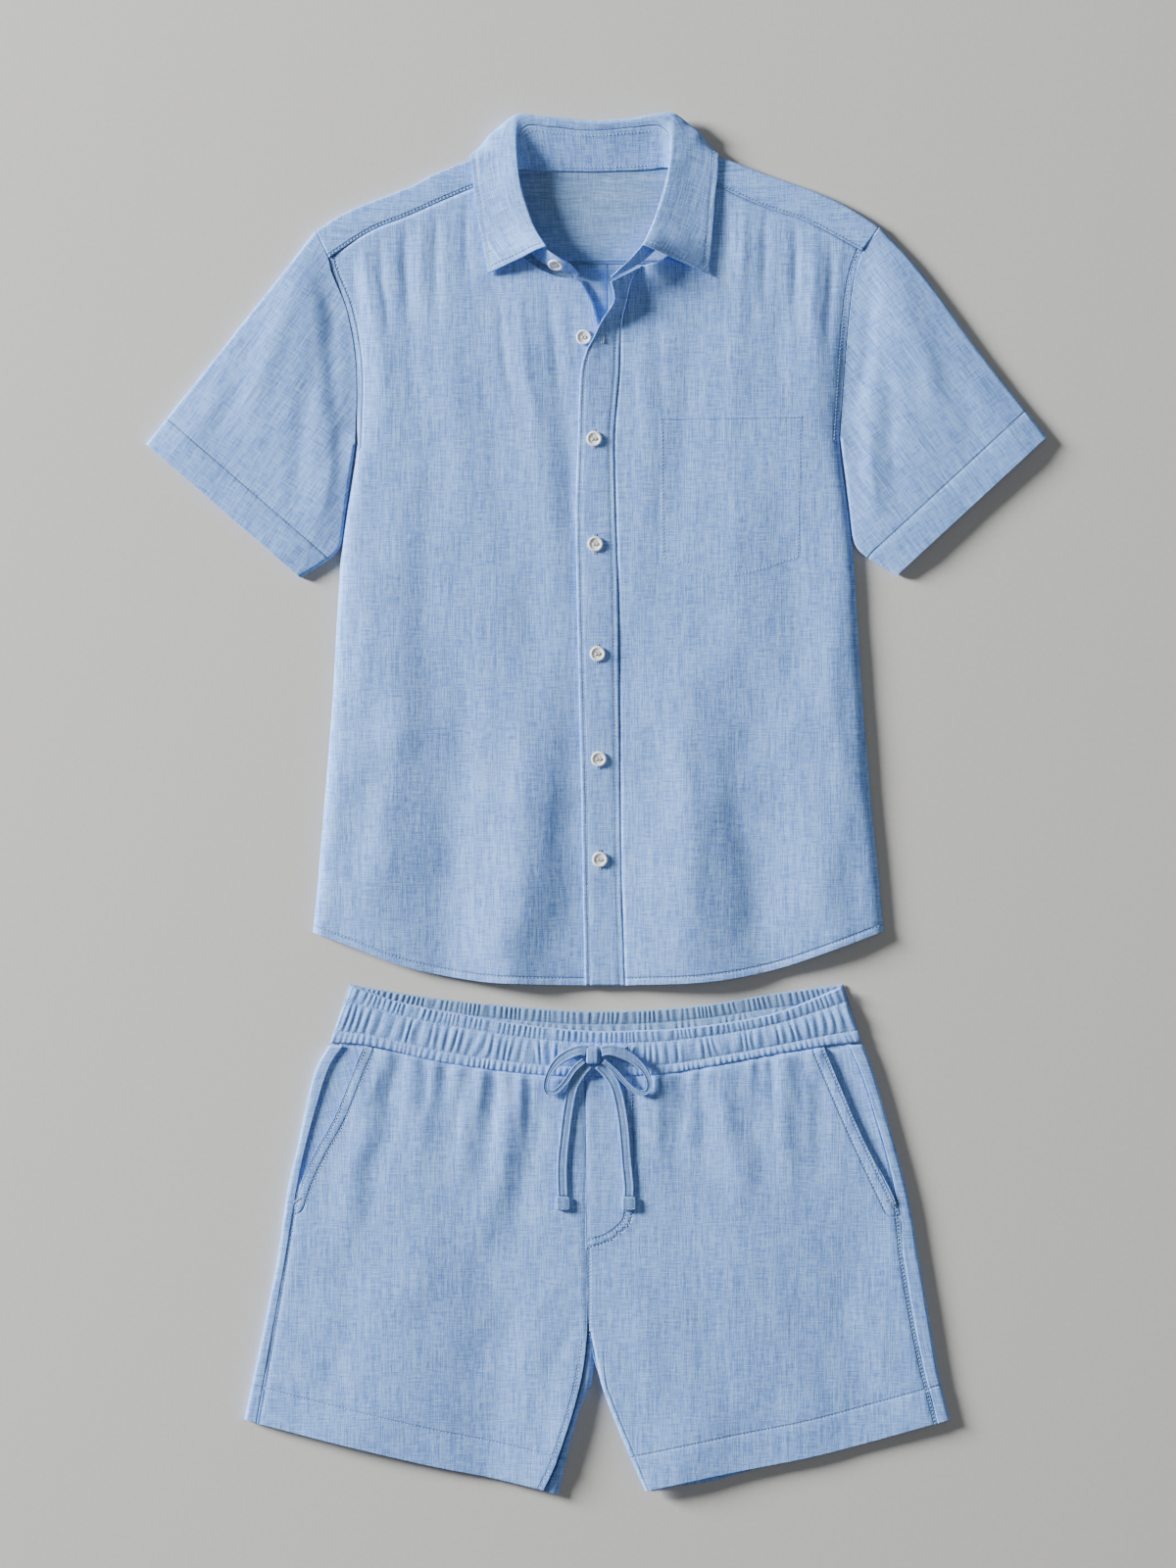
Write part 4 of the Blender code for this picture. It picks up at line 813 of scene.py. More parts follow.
def buildCollar():
    t = np.linspace(0, 1, 300)
    seam, top = [pressed(curveAt([r[k:k + 3] for r in stand], t)) for k in (0, 3)]
    s = np.array(standMarks)[:, None, None]
    points = seam * (1 - s) + top * s
    points[..., 2] += 0.25 * softNoise(t * 420, s[..., 0] * 30, 15, 14) * np.sin(math.pi * s[..., 0])
    length = np.concatenate([[0], np.cumsum(np.linalg.norm(np.diff(seam, axis=0), axis=1))])
    grain = np.stack(np.broadcast_arrays(length[None, :], s[..., 0] * 34 + 2400), -1)
    clothPiece("collarStandCloth", "collar_stand", points, grain, collar["standWall"], flip=True,
               restsOn=["shirt_yoke", "shirt_front_left"], flat=(0.42, 0.036))
    for share in (0.1, 0.88):
        row = seam * (1 - share) + top * share
        away = np.array([0.0, 560.0, 40.0]) - row
        inward = away / np.linalg.norm(away, axis=1)[:, None]
        stitchLines["shirtStitching"].append(row + inward * stitchLift["collar"] + (0, 0, stitchLift["band"]))
    tops = pressed(curveAt([r[3:6] for r in stand], np.linspace(0, 1, 1200)))
    t = np.linspace(0, 1, 400)
    rails = [pressed(curveAt([r[k:k + 3] for r in leaf], t)) for k in (0, 3, 6, 9)]
    rows = []
    marks = np.concatenate([np.linspace(0, 0.9, 30), 1 - np.array(fineEdge[:8])[::-1] / 60])
    for j in range(len(t)):
        crest, fall, middle, outer = [rail[j] for rail in rails]
        near = tops[np.argmin(((tops - crest) ** 2).sum(1))]
        start = near + (crest - near) / np.linalg.norm(crest - near) * collar["gap"]
        one = curveAt([crest, fall, middle], 0.62)[0]
        two = curveAt([fall, middle, outer], 0.68)[0]
        rows.append(curveAt([start, crest, fall, one, middle, two, outer], marks))
    points = np.stack(rows)
    run = np.concatenate([[0], np.cumsum(np.linalg.norm(np.diff(rails[2], axis=0), axis=1))])
    fromEnd = np.minimum(run, run[-1] - run)[:, None]
    step = np.linalg.norm(np.diff(points, axis=1), axis=2)
    cross = np.concatenate([np.zeros((len(t), 1)), np.cumsum(step, 1)], 1)
    toEdge = cross[:, -1:] - cross
    inset = np.minimum(toEdge, fromEnd)
    bump = 0.3 * softNoise(run[:, None], cross, 17, 44) * np.clip(toEdge / 12, 0, 1)
    points[..., 2] += bump - 0.35 * np.exp(-((inset - collar["stitchIn"]) / 0.9) ** 2)
    points[..., 2] = np.maximum(points[..., 2], 0.0)
    grain = np.stack([cross + 3300, run[:, None] + 0 * cross], -1)
    clothPiece("collarLeafCloth", "collar_leaf", points, grain, collar["wall"], restsOn=["collar_stand"],
               flat=(0.46, 0.08))
    stitchIn, lift = collar["stitchIn"], (0, 0, stitchLift["collar"])
    line = [[np.interp(cross[j, -1] - stitchIn, cross[j], points[j, :, k]) for k in range(3)]
            for j in range(len(t)) if stitchIn <= run[j] <= run[-1] - stitchIn]
    stitchLines["shirtStitching"].append(np.array(line) + lift)
    for at in (np.searchsorted(run, stitchIn), np.searchsorted(run, run[-1] - stitchIn)):
        row = points[at][cross[at] < cross[at, -1] - stitchIn][4:]
        stitchLines["shirtStitching"].append(row + lift)


buildCollar()
print("stage: collar")


# Chest pocket, sewn flat on the right front.
pocket = {"top": [(55, 334), (178, 336)], "bottom": [(56, 213), (116, 197), (176, 213)],
          "left": [(55, 334), (56, 213)], "right": [(178, 336), (176, 213)],
          "over": 0.22, "hem": 22.0, "stitchIn": 1.8}


def buildPocket():
    plan = patch(pocket["top"], pocket["bottom"], pocket["left"], pocket["right"])
    x, y = panelGrid(plan, 2.4, fineEdge[:7], fineEdge[:7], fineEdge[:7], fineEdge[:7])
    rim = [distanceTo(x, y, pocket[k], 60) for k in ("left", "right", "bottom")]
    inset = np.minimum(np.minimum(rim[0], rim[1]), rim[2])
    fromTop = distanceTo(x, y, pocket["top"], 60)

    def surface(px, py):
        return rightSurface(px, py) + pocket["over"]
    z = surface(x, y) + 0.25 * np.exp(-(fromTop / 1.6) ** 2) - 0.18 * (1 - smoothStep(inset, 0, 12))
    stitchIn = pocket["stitchIn"]
    seams = seamField((inset - stitchIn, 0.04), (fromTop - pocket["hem"], 0.05), (fromTop - 2.2, 0.3))
    points = np.stack([x, y, z], -1)
    clothPiece("pocketCloth", "chest_pocket", points, turnedGrain(x + 700, y, 0), 0.2,
               restsOn=["shirt_front_right"], seams=seams)
    outline = np.concatenate([curveAt(pocket["left"], np.linspace(0, 1, 40)) + (stitchIn, 0),
                              curveAt(pocket["bottom"], np.linspace(0.02, 0.98, 50)) + (0, 1.9),
                              curveAt(pocket["right"], np.linspace(1, 0, 40)) - (stitchIn, 0)])
    sew("shirtStitching", outline, surface, -0.1)


buildPocket()


# Buttons: a turned disc with a rim, four holes and the thread through them.
button = {"radius": 6.6, "thick": 2.1, "hole": 0.75, "spacing": 1.35, "thread": 0.3}
buttonPlaces = [(-11, 404), (-2, 316), (-1, 225), (1, 130), (2, 39), (3, -48)]
standButton = {"place": (-35.3, 466.2, 14.7), "tilt": (math.radians(50), math.radians(-32), 0.2)}


def buttonMesh():
    r, t = button["radius"], button["thick"]
    profile = [(0.0, 0.62), (0.42, 0.62), (0.6, 0.66), (0.68, 0.8), (0.76, 0.96), (0.85, 1.0), (0.94, 0.93),
               (1.0, 0.72), (1.0, 0.4), (0.93, 0.15), (0.8, 0.0), (0.0, 0.0)]
    turns = 56
    verts = [(0, 0, profile[0][1] * t), (0, 0, 0)]
    for px, pz in profile[1:-1]:
        for k in range(turns):
            a = 2 * math.pi * k / turns
            verts.append((px * r * math.cos(a), px * r * math.sin(a), pz * t))
    faces = []
    rings = len(profile) - 2
    for k in range(turns):
        n = (k + 1) % turns
        faces.append((0, 2 + k, 2 + n))
        for j in range(rings - 1):
            a, b = 2 + j * turns, 2 + (j + 1) * turns
            faces.append((a + k, b + k, b + n, a + n))
        last = 2 + (rings - 1) * turns
        faces.append((1, last + n, last + k))
    mesh = bpy.data.meshes.new("buttonDisc")
    mesh.from_pydata([tuple(c * mm for c in v) for v in verts], [], faces)
    disc = linkedObject("buttonDisc", mesh)
    cutters = []
    for sx in (-1, 1):
        for sy in (-1, 1):
            place = (sx * button["spacing"] * mm, sy * button["spacing"] * mm, t * mm / 2)
            bpy.ops.mesh.primitive_cylinder_add(vertices=16, radius=button["hole"] * mm, depth=t * 3 * mm,
                                                location=place)
            cutters.append(bpy.context.object)
            cut = disc.modifiers.new("hole", "BOOLEAN")
            cut.object = cutters[-1]
            cut.operation = "DIFFERENCE"
            cut.solver = "EXACT"
    bakeModifiers(disc)
    made = disc.data
    for obj in cutters + [disc]:
        bpy.data.objects.remove(obj)
    made.materials.clear()
    made.materials.append(shell)
    made.materials.append(buttonThread)
    return made


# Faces of a tube of rings, one after another, with a cap at each end.
def tubeFaces(count, sides, flip=False):
    index = np.arange(count * sides).reshape(count, sides)
    index = np.concatenate([index, index[:, :1]], 1)
    quads = np.stack([index[:-1, :-1], index[:-1, 1:], index[1:, 1:], index[1:, :-1]], -1).reshape(-1, 4)
    first, last = list(range(sides)), list(range((count - 1) * sides, count * sides))
    if flip:
        return quads[:, [0, 3, 2, 1]].tolist() + [first, last[::-1]]
    return quads.tolist() + [first[::-1], last]


# Unit vectors along a line of points, to its side and up from it.
def directions(points):
    way = np.gradient(points, axis=0)
    way /= np.linalg.norm(way, axis=1)[:, None]
    side = np.cross(way, (0.0, 0.0, 1.0))
    side /= np.maximum(np.linalg.norm(side, axis=1)[:, None], 1e-9)
    return side, np.cross(side, way)


def tube(points, radius, sides):
    points = np.asarray(points, float)
    side, lift = directions(points)
    angle = np.linspace(0, 2 * math.pi, sides, endpoint=False)
    around = side[:, None] * np.cos(angle)[:, None] + lift[:, None] * np.sin(angle)[:, None]
    rings = points[:, None] + radius * around
    return rings.reshape(-1, 3), tubeFaces(len(points), sides)


# A piece of one or more meshes, each with its points, faces and material number.
def meshPiece(name, node, parts, materials, origin=(0, 0, 0)):
    verts, faces, numbers = [], [], []
    for points, polygons, number in parts:
        base = len(verts)
        verts += [tuple((np.array(p) + origin) * mm) for p in points]
        faces += [tuple(i + base for i in f) for f in polygons]
        numbers += [number] * len(polygons)
    mesh = bpy.data.meshes.new(name)
    mesh.from_pydata(verts, [], faces)
    mesh.polygons.foreach_set("material_index", numbers)
    for item in materials:
        mesh.materials.append(item)
    layer = mesh.uv_layers.new(name="grain")
    for loop in mesh.loops:
        p = mesh.vertices[loop.vertex_index].co
        layer.data[loop.index].uv = (p.x, p.y)
    mesh.update()
    mesh.shade_smooth()
    obj = linkedObject(name, mesh)
    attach(obj, "root")
    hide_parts(node)
    return obj


def buildButtons():
    base = buttonMesh()
    discPoints = np.array([v.co for v in base.vertices]) / mm
    discFaces = [tuple(p.vertices) for p in base.polygons]
    threads = []
    s, top = button["spacing"], button["thick"] * 0.62
    for sign in (-1, 1):
        a = np.linspace(-1, 1, 9)
        arch = top + 0.55 * (1 - a ** 4) - 0.5 * np.abs(a) ** 6
        for shift in (-0.28, 0.28):
            threads.append(np.column_stack([np.full(9, sign * s + shift), a * s, arch]))
    places = []
    for number, (x, y) in enumerate(buttonPlaces):
        below = leftSurface if number == 0 else placketSurface
        z = float(below(np.array([x]), np.array([y]))[0]) - 0.1
        places.append((number + 2, (x, y, z), (0.0, 0.0, 0.12 * math.sin(7 * number))))
    places.append((1, standButton["place"], standButton["tilt"]))
    for number, place, tilt in places:
        turn = np.array(Euler(tilt).to_matrix())
        parts = [(discPoints @ turn.T, discFaces, 0)]
        for line in threads:
            points, faces = tube(line, button["thread"], 6)
            parts.append((points @ turn.T, faces, 1))
        meshPiece("shellButton%d" % number, "shirt_button_%d" % number, parts,
                  [shell, buttonThread], np.array(place))


buildButtons()
print("stage: buttons")


# Shorts: outlines and seams as in the part.
shorts = {"loft": 6.0, "hem": 31.0, "welt": 9.4, "fly": 0.35, "creases": 0.95, "waves": 0.8,
          "mouthStitch": 1.6, "sideStitch": 2.2, "flyInner": 6.0, "inseamStitch": 4.5}
outerLeft = [(-232, -209), (-243, -229), (-252, -263), (-259, -297), (-267, -331), (-276, -391), (-284, -433),
             (-291, -467), (-305, -533)]
outerRight = [(231, -208), (239, -229), (254, -280), (266, -323), (273, -355), (279, -391), (289, -450),
              (297, -496), (306, -533)]
seamLeft = [(-219, -206), (-230, -221), (-243, -259), (-254, -300), (-262, -346), (-269, -391), (-283, -473),
            (-294, -536)]
seamRight = [(219, -206), (232, -238), (252, -305), (261, -350), (265, -391), (280, -476), (295, -536)]
mouthLeft = [(-202, -211), (-211, -232), (-227, -271), (-242, -298), (-254, -323), (-262, -346)]
mouthRight = [(197, -212), (228, -284), (258, -348)]
legHemLeft = [(-305, -533), (-290, -537), (-231, -552), (-148, -572), (-89, -584), (-33, -598)]
innerLeft = [(-1, -459), (-4, -500), (-15, -527), (-26, -567), (-33, -598)]
innerRight = [(1, -454), (4, -500), (11, -521), (27, -560), (41, -595)]
inseamLeft = [(-8, -459), (-15, -506), (-35, -570), (-46, -594)]
centreSeam = [(-10, -238), (-8, -391), (-8, -459)]
flyCurve = [(31, -238), (31, -353), (27, -365), (11, -378), (-8, -384)]
waistFrontTop = [(-212, -157), (-170, -171), (-120, -181), (-52, -192), (-7, -196), (28, -196), (82, -193),
                 (153, -181), (212, -158)]
waistFrontLow = [(-231, -207), (-199, -209), (-132, -224), (-56, -234), (0, -236), (56, -234), (100, -227),
                 (153, -217), (195, -210), (230, -206)]
waistBackTop = [(-214, -156), (-153, -166), (-94, -173), (-35, -178), (0, -179), (46, -178), (100, -173),
                (153, -164), (214, -156)]
waistBackLow = [(-231, -207), (-153, -211), (-94, -217), (-35, -222), (0, -223), (46, -222), (100, -217),
                (153, -211), (230, -206)]
shortsCreases = [
    # x and y of both ends, width, height
    (-183, -222, -196, -262, 5, 0.8), (-172, -222, -181, -270, 4, -0.7), (-158, -224, -166, -290, 6, 0.7),
    (-146, -226, -151, -270, 4, -0.6), (-128, -228, -140, -330, 7, 0.7), (-116, -229, -124, -300, 5, -0.9),
    (-100, -230, -106, -280, 5, 0.6), (-88, -231, -92, -310, 5, -0.7), (-70, -233, -76, -320, 7, 0.6),
    (-57, -233, -60, -290, 4, -0.6), (-42, -236, -44, -300, 5, 0.5), (44, -235, 50, -300, 5, 0.6),
    (57, -233, 62, -310, 5, -0.7), (72, -231, 80, -330, 7, 0.7), (88, -229, 96, -320, 6, -0.8),
    (104, -227, 112, -290, 5, 0.6), (118, -224, 128, -310, 6, -0.7), (133, -221, 146, -300, 6, 0.7),
    (149, -218, 160, -280, 5, -0.6), (163, -216, 176, -270, 5, 0.6), (178, -214, 190, -262, 5, -0.7),
    (-140, -330, -170, -520, 20, 0.7), (-100, -360, -120, -560, 18, -0.7), (-55, -390, -66, -570, 14, 0.5),
    (-210, -390, -225, -520, 16, -0.6), (50, -400, 86, -560, 16, -0.7), (100, -350, 140, -540, 20, 0.7),
    (170, -380, 205, -540, 16, -0.6), (-20, -400, -60, -440, 8, 0.5), (8, -400, 60, -450, 8, 0.6),
    (-12, -430, -45, -500, 6, -0.6), (6, -440, 40, -505, 7, -0.6), (220, -400, 250, -520, 12, 0.5)]
# Deep gathers that run on below the waistband, and broad waves of the legs.
shortsWaves = [
    # x and y of both ends, width, height
    (-188, -205, -222, -390, 13, 1.7), (-168, -205, -200, -375, 12, -1.5), (-146, -215, -150, -320, 8, 1.2),
    (-131, -215, -137, -330, 8, -1.3), (-104, -220, -118, -340, 10, 1.1), (-88, -222, -98, -330, 9, -1.1),
    (-62, -215, -105, -400, 13, 1.7), (-40, -220, -76, -395, 12, -1.6), (55, -215, 57, -320, 9, 1.3),
    (73, -215, 77, -330, 9, -1.5), (112, -212, 122, -360, 12, 1.7), (136, -210, 146, -340, 9, -1.5),
    (160, -208, 170, -340, 8, 1.3), (186, -206, 198, -330, 8, -1.2), (-188, -330, -208, -760, 46, 3.0),
    (-82, -330, -96, -760, 27, -2.9), (62, -380, 98, -780, 38, 3.5), (215, -330, 235, -640, 30, -2.1),
    (-20, -490, -44, -625, 15, 2.9)]


def shortsSurface(mouth, seam, hem):
    def surface(x, y):
        lows = np.array(waistFrontLow, float)
        below = np.interp(x, lows[:, 0], lows[:, 1]) - y
        drop = np.maximum(below, 0.0)
        phase = x / 10.5 + 0.9 * softNoise(x, 0 * x, 26, 61)
        reach = 24 + 16 * softNoise(x, 0 * x, 13, 62)
        z = shorts["loft"] + 0.6 + 0.8 * np.cos(math.pi * phase) * np.exp(-drop / reach)
        z = z + 0.4 * np.sin(x / 23 + y / 90) * np.sin(math.pi * np.minimum(1.0, drop / 330))
        edge = np.minimum(distanceTo(x, y, seam), distanceTo(x, y, mouth))
        settle = np.clip(edge / 16, 0.2, 1)
        folds = shorts["creases"] * creasesAt(x, y, shortsCreases)
        folds = folds + shorts["waves"] * creasesAt(x, y, shortsWaves)
        z = z + folds * settle + crumple(x, y, 71)
        fromHem = distanceTo(x, y, hem)
        z = z + hemRelief(fromHem, shorts["hem"], 0.4, 0.7)
        z = z + 0.12 * softNoise(x * 2, y * 2, 9, 23) * np.exp(-np.abs(fromHem - shorts["hem"]) / 8)
        fromMouth = distanceTo(x, y, mouth)
        z = z + hemRelief(fromMouth, shorts["welt"], 0.35, 0.45)
        fromSeam = distanceTo(x, y, seam[3:])
        z = z - 0.9 * np.exp(-(fromSeam / 4.0) ** 2)
        fly = flyDistance(x, y)
        z = z + shorts["fly"] * smoothStep(fly, -1.5, 1.5)
        z = z - 0.5 * np.exp(-(distanceTo(x, y, centreSeam) / 2.5) ** 2)
        return z - (z - 3.9) * (1 - smoothStep(below, -1.5, 3.5))
    return surface


# Distance in from the fly's curved stitch line, negative outside it.
def flyDistance(x, y):
    limit = np.interp(y, [-384, -378, -365, -353, -238], [-8, 11, 27, 31, 31])
    inside = (x < limit) & (x > -9) & (y > -385)
    return np.where(inside, 1, -1) * distanceTo(x, y, flyCurve)


def shortsSeams(side, x, y, mouth, seam, hem):
    fromMouth = distanceTo(x, y, mouth)
    inseam = innerRight if side == "Right" else inseamLeft
    lines = [(distanceTo(x, y, hem) - shorts["hem"], 0.7), (fromMouth - shorts["mouthStitch"], 0.6),
             (fromMouth - shorts["welt"], 0.8), (distanceTo(x, y, seam[3:]) - shorts["sideStitch"], 0.7)]
    if side == "Right":
        fly = flyDistance(x, y)
        shown = smoothStep(-236 - y, 0, 3) * smoothStep(x, -8, -5)
        centre = x - np.interp(y, [-459, -391, -238], [-8, -8, -10])
        lines += [(fly, shown), (fly - shorts["flyInner"], 0.9 * shown * (fly > 0)),
                  (centre - 2.0, 0.8 * (y < -384) * (y > -459))]
    lines.append((distanceTo(x, y, inseam) - shorts["inseamStitch"], 0.5 * smoothStep(-y, 460, 500)))
    return seamField(*lines)


def buildShortsFronts():
    gap, tuck = -0.1, 1.8
    topL = [(mouthLeft[0][0], mouthLeft[0][1] + tuck), (-132, -222.8), (-56, -232.8), (-10.3, -234.6)]
    left = topL[:1] + mouthLeft[1:-1] + [(x + gap, y) for x, y in seamLeft[4:]]
    hemL = [left[-1], (-231, -552), (-148, -572), (-89, -584), (-46, -594)]
    right = [(-10.3, -234.6), (-8.3, -391), (-8.3, -459), (-15, -506), (-35, -570), (-46, -594)]
    topR = [(-9.7, -234.6), (56, -232.8), (100, -225.8), (153, -215.8),
            (mouthRight[0][0], mouthRight[0][1] + tuck)]
    centre = [(-9.7, -234.6), (-7.7, -391), (-6, -456), (3.5, -500), (10.5, -521), (26.5, -560), (42, -594.6)]
    outer = topR[-1:] + mouthRight[1:-1] + [(x - gap, y) for x, y in seamRight[3:]]
    hemR = [(42, -594.6), (111, -580), (196, -563), outer[-1]]
    made = []
    for side, plan, mouth, seam, hem, shift in (
            ("Left", patch(topL, hemL, left, right), mouthLeft, seamLeft, hemL, 0),
            ("Right", patch(topR, hemR, centre, outer), mouthRight, seamRight, hemR, 640)):
        x, y = panelGrid(plan, 3.0, fineEdge, fineEdge, level, fineEdge)
        surface = shortsSurface(mouth, seam, hem)
        z = surface(x, y)
        if side == "Right":
            inner = distanceTo(x, y, centre[2:])
            z = z - 2.4 * (1 - np.clip(inner / 3.0, 0, 1)) ** 2
        points = np.stack([x, y, z], -1)
        clothPiece("shortsFront%sCloth" % side, "shorts_front_" + side.lower(), points,
                   turnedGrain(x + shift, y - 1200, 0), restsOn=["shorts_back_" + side.lower()],
                   seams=shortsSeams(side, x, y, mouth, seam, hem))
        sign = 1 if side == "Left" else -1
        sew("shortsStitching", beside(hem, shorts["hem"], 0.0, 1.0, 90), surface)
        for inset in (shorts["mouthStitch"], shorts["welt"]):
            sew("shortsStitching", beside(mouth, sign * inset, 0.0, 0.97), surface)
        sew("shortsStitching", beside(seam, sign * shorts["sideStitch"], 0.42, 1.0, 90), surface)
        made.append(surface)
    flyLine = curveAt(flyCurve, np.linspace(0.04, 1, 90))[:, :2]
    sew("shortsStitching", flyLine - (0.6, 0), made[1])
    sew("shortsStitching", beside(flyCurve, -shorts["flyInner"], 0.04, 0.97, 90), made[1])
    sew("shortsStitching", beside(centreSeam, 2.0, 0.68, 1.0, 40), made[1])
    sew("shortsStitching", beside(inseamLeft, -shorts["inseamStitch"], 0.05, 1.0, 40), made[0])
    return made


shortsSurfaces = buildShortsFronts()
print("stage: shorts fronts")


def buildShortsBacks():
    low = [(x, y - 1.4) for x, y in waistBackLow]
    dropped = [(306, -533), (293, -537), (196, -563), (140, -576), (98, -587.5), (68, -591.5), (41, -595)]
    middle = low[4][1]
    sides = (("Left", outerLeft, seamLeft, [(-0.35, middle), (-1, -459)] + innerLeft[1:], inseamLeft,
              legHemLeft, [outerLeft[0]] + low[1:4] + [(-0.35, middle)]),
             ("Right", outerRight, seamRight, [(0.35, middle), (0.5, -454)] + innerRight[1:], None,
              dropped, [outerRight[0]] + low[7:4:-1] + [(0.35, middle)]))
    for side, outer, seam, inner, inseam, hem, top in sides:
        plan = patch(top, hem, outer, inner)
        v = spread(380.0, 110, (0.0, 3.0), fineEdge)
        start, end = plan(0 * v, v), plan(0 * v + 1, v)
        width = np.linalg.norm(end - start, axis=1)
        seamPoints, edge, loft = curveAt(seam, v), 3.5, shorts["loft"]
        reach = np.maximum(np.linalg.norm(seamPoints - start, axis=1) - 0.35, edge + 0.5)
        distances, heights = [], []
        for share in (1.0, 0.8, 0.6, 0.4, 0.2):
            distances.append(edge + (reach - edge) * share)
            heights.append(np.full(len(v), loft - 0.1))
        for angle in np.linspace(90, -90, 9):
            c, s = math.cos(math.radians(angle)), math.sin(math.radians(angle))
            distances.append(np.full(len(v), edge * (1 - c) * 0.8 if angle > 0 else 0.9 * (1 - c)))
            heights.append(np.full(len(v), loft / 2 * (1 + s) - 0.1 * (s > 0)))
        for share in np.linspace(0.02, 1, 24):
            distances.append(edge + (width - 2 * edge) * share)
            heights.append(np.zeros(len(v)))
        columns = len(distances)
        if inseam:
            line = curveAt(inseam, np.linspace(0, 1, 200))
            strip = np.array([np.linalg.norm(line - e, axis=1).min() for e in end])
            strip = np.maximum(strip - 1.2, 1.6)
            for back, height in ((0.9, 0.8), (0.2, 1.6), (0.0, 2.6), (0.2, 3.6), (0.9, 4.4)):
                distances.append(width - back)
                heights.append(np.full(len(v), height))
            for share in (0.4, 0.7, 1.0):
                distances.append(width - 0.9 - (strip - 0.9) * share)
                heights.append(np.full(len(v), loft - 0.25))
        points = []
        for distance, height in zip(distances, heights):
            flat = plan(distance / width, v)
            points.append(np.column_stack([flat, height]))
        points = np.stack(points, 1)
        upper = points[..., 2] > loft - 0.4
        hemAway = distanceTo(points[..., 0], points[..., 1], hem, 120)
        relief = hemRelief(hemAway, shorts["hem"], 0.2, 0.35)
        relief = relief + 0.5 * crumple(points[..., 0], points[..., 1], 82)
        points[..., 2] += np.where(upper, relief, 0.0)
        keep = None
        if inseam:
            keep = np.ones((len(v) - 1, points.shape[1] - 1), bool)
            keep[:, columns - 1:] = (end[:-1, 1] < -459)[:, None]
        run = np.cumsum(np.linalg.norm(np.diff(points, axis=1, prepend=points[:, :1]), axis=2), axis=1)
        grain = np.stack([run + (3900 if inseam else 4500), points[..., 1]], -1)
        seams = seamField((hemAway - shorts["hem"], 0.7))
        clothPiece("shortsBack%sCloth" % side, "shorts_back_" + side.lower(), points, grain, 0.8,
                   flip=bool(inseam), keep=keep, flat=(0.33, 0.4), seams=seams)


buildShortsBacks()


def buildFacings():
    for side, mouth, seam in (("Left", mouthLeft, seamLeft), ("Right", mouthRight, seamRight)):
        v = np.linspace(0.02, 0.93, 60)
        inner, outer = curveAt(mouth, v), curveAt(seam, v * 0.62)
        aside = 0.35 if side == "Left" else -0.35
        near, far = outer + (aside, 0), inner + (aside * 20, 0)
        near[0] += (0, 4)
        far[0] += (0, 4)
        s = np.linspace(0, 1, 14)[:, None, None]
        flat = (near * (1 - s) + far * s).transpose(1, 0, 2)
        if side == "Right":
            flat = flat[:, ::-1]
        share = s[:, 0, 0] if side == "Left" else s[::-1, 0, 0]
        z = 4.0 + 1.0 * np.exp(-share[None, :] * 5) + 0.2 * crumple(flat[..., 0], flat[..., 1], 90)
        points = np.dstack([flat, np.broadcast_to(z, flat.shape[:2])])
        clothPiece("pocketFacing%sCloth" % side, "pocket_facing_" + side.lower(), points,
                   turnedGrain(flat[..., 0] + 5200, flat[..., 1], 12), 0.6,
                   restsOn=["shorts_back_" + side.lower()])


buildFacings()
print("stage: shorts backs and facings")


# Waistband: elastic gathers in three stitched rows.
waist = {"length": 440.0, "high": 50, "rows": (0.27, 0.79), "pitch": (5.2, 7.8, 5.0),
         "height": (0.85, 1.1, 0.75), "puff": 1.1}


def gatherWave(along, across, pitch, seed):
    phase = along / pitch + 0.85 * softNoise(along, across, 17, seed)
    phase = phase + 0.3 * softNoise(along, across, 7, seed + 1)
    strength = 0.7 + 0.3 * softNoise(along, across, 14, seed + 2)
    return (0.5 + 0.5 * np.cos(2 * math.pi * phase)) ** 0.8 * strength


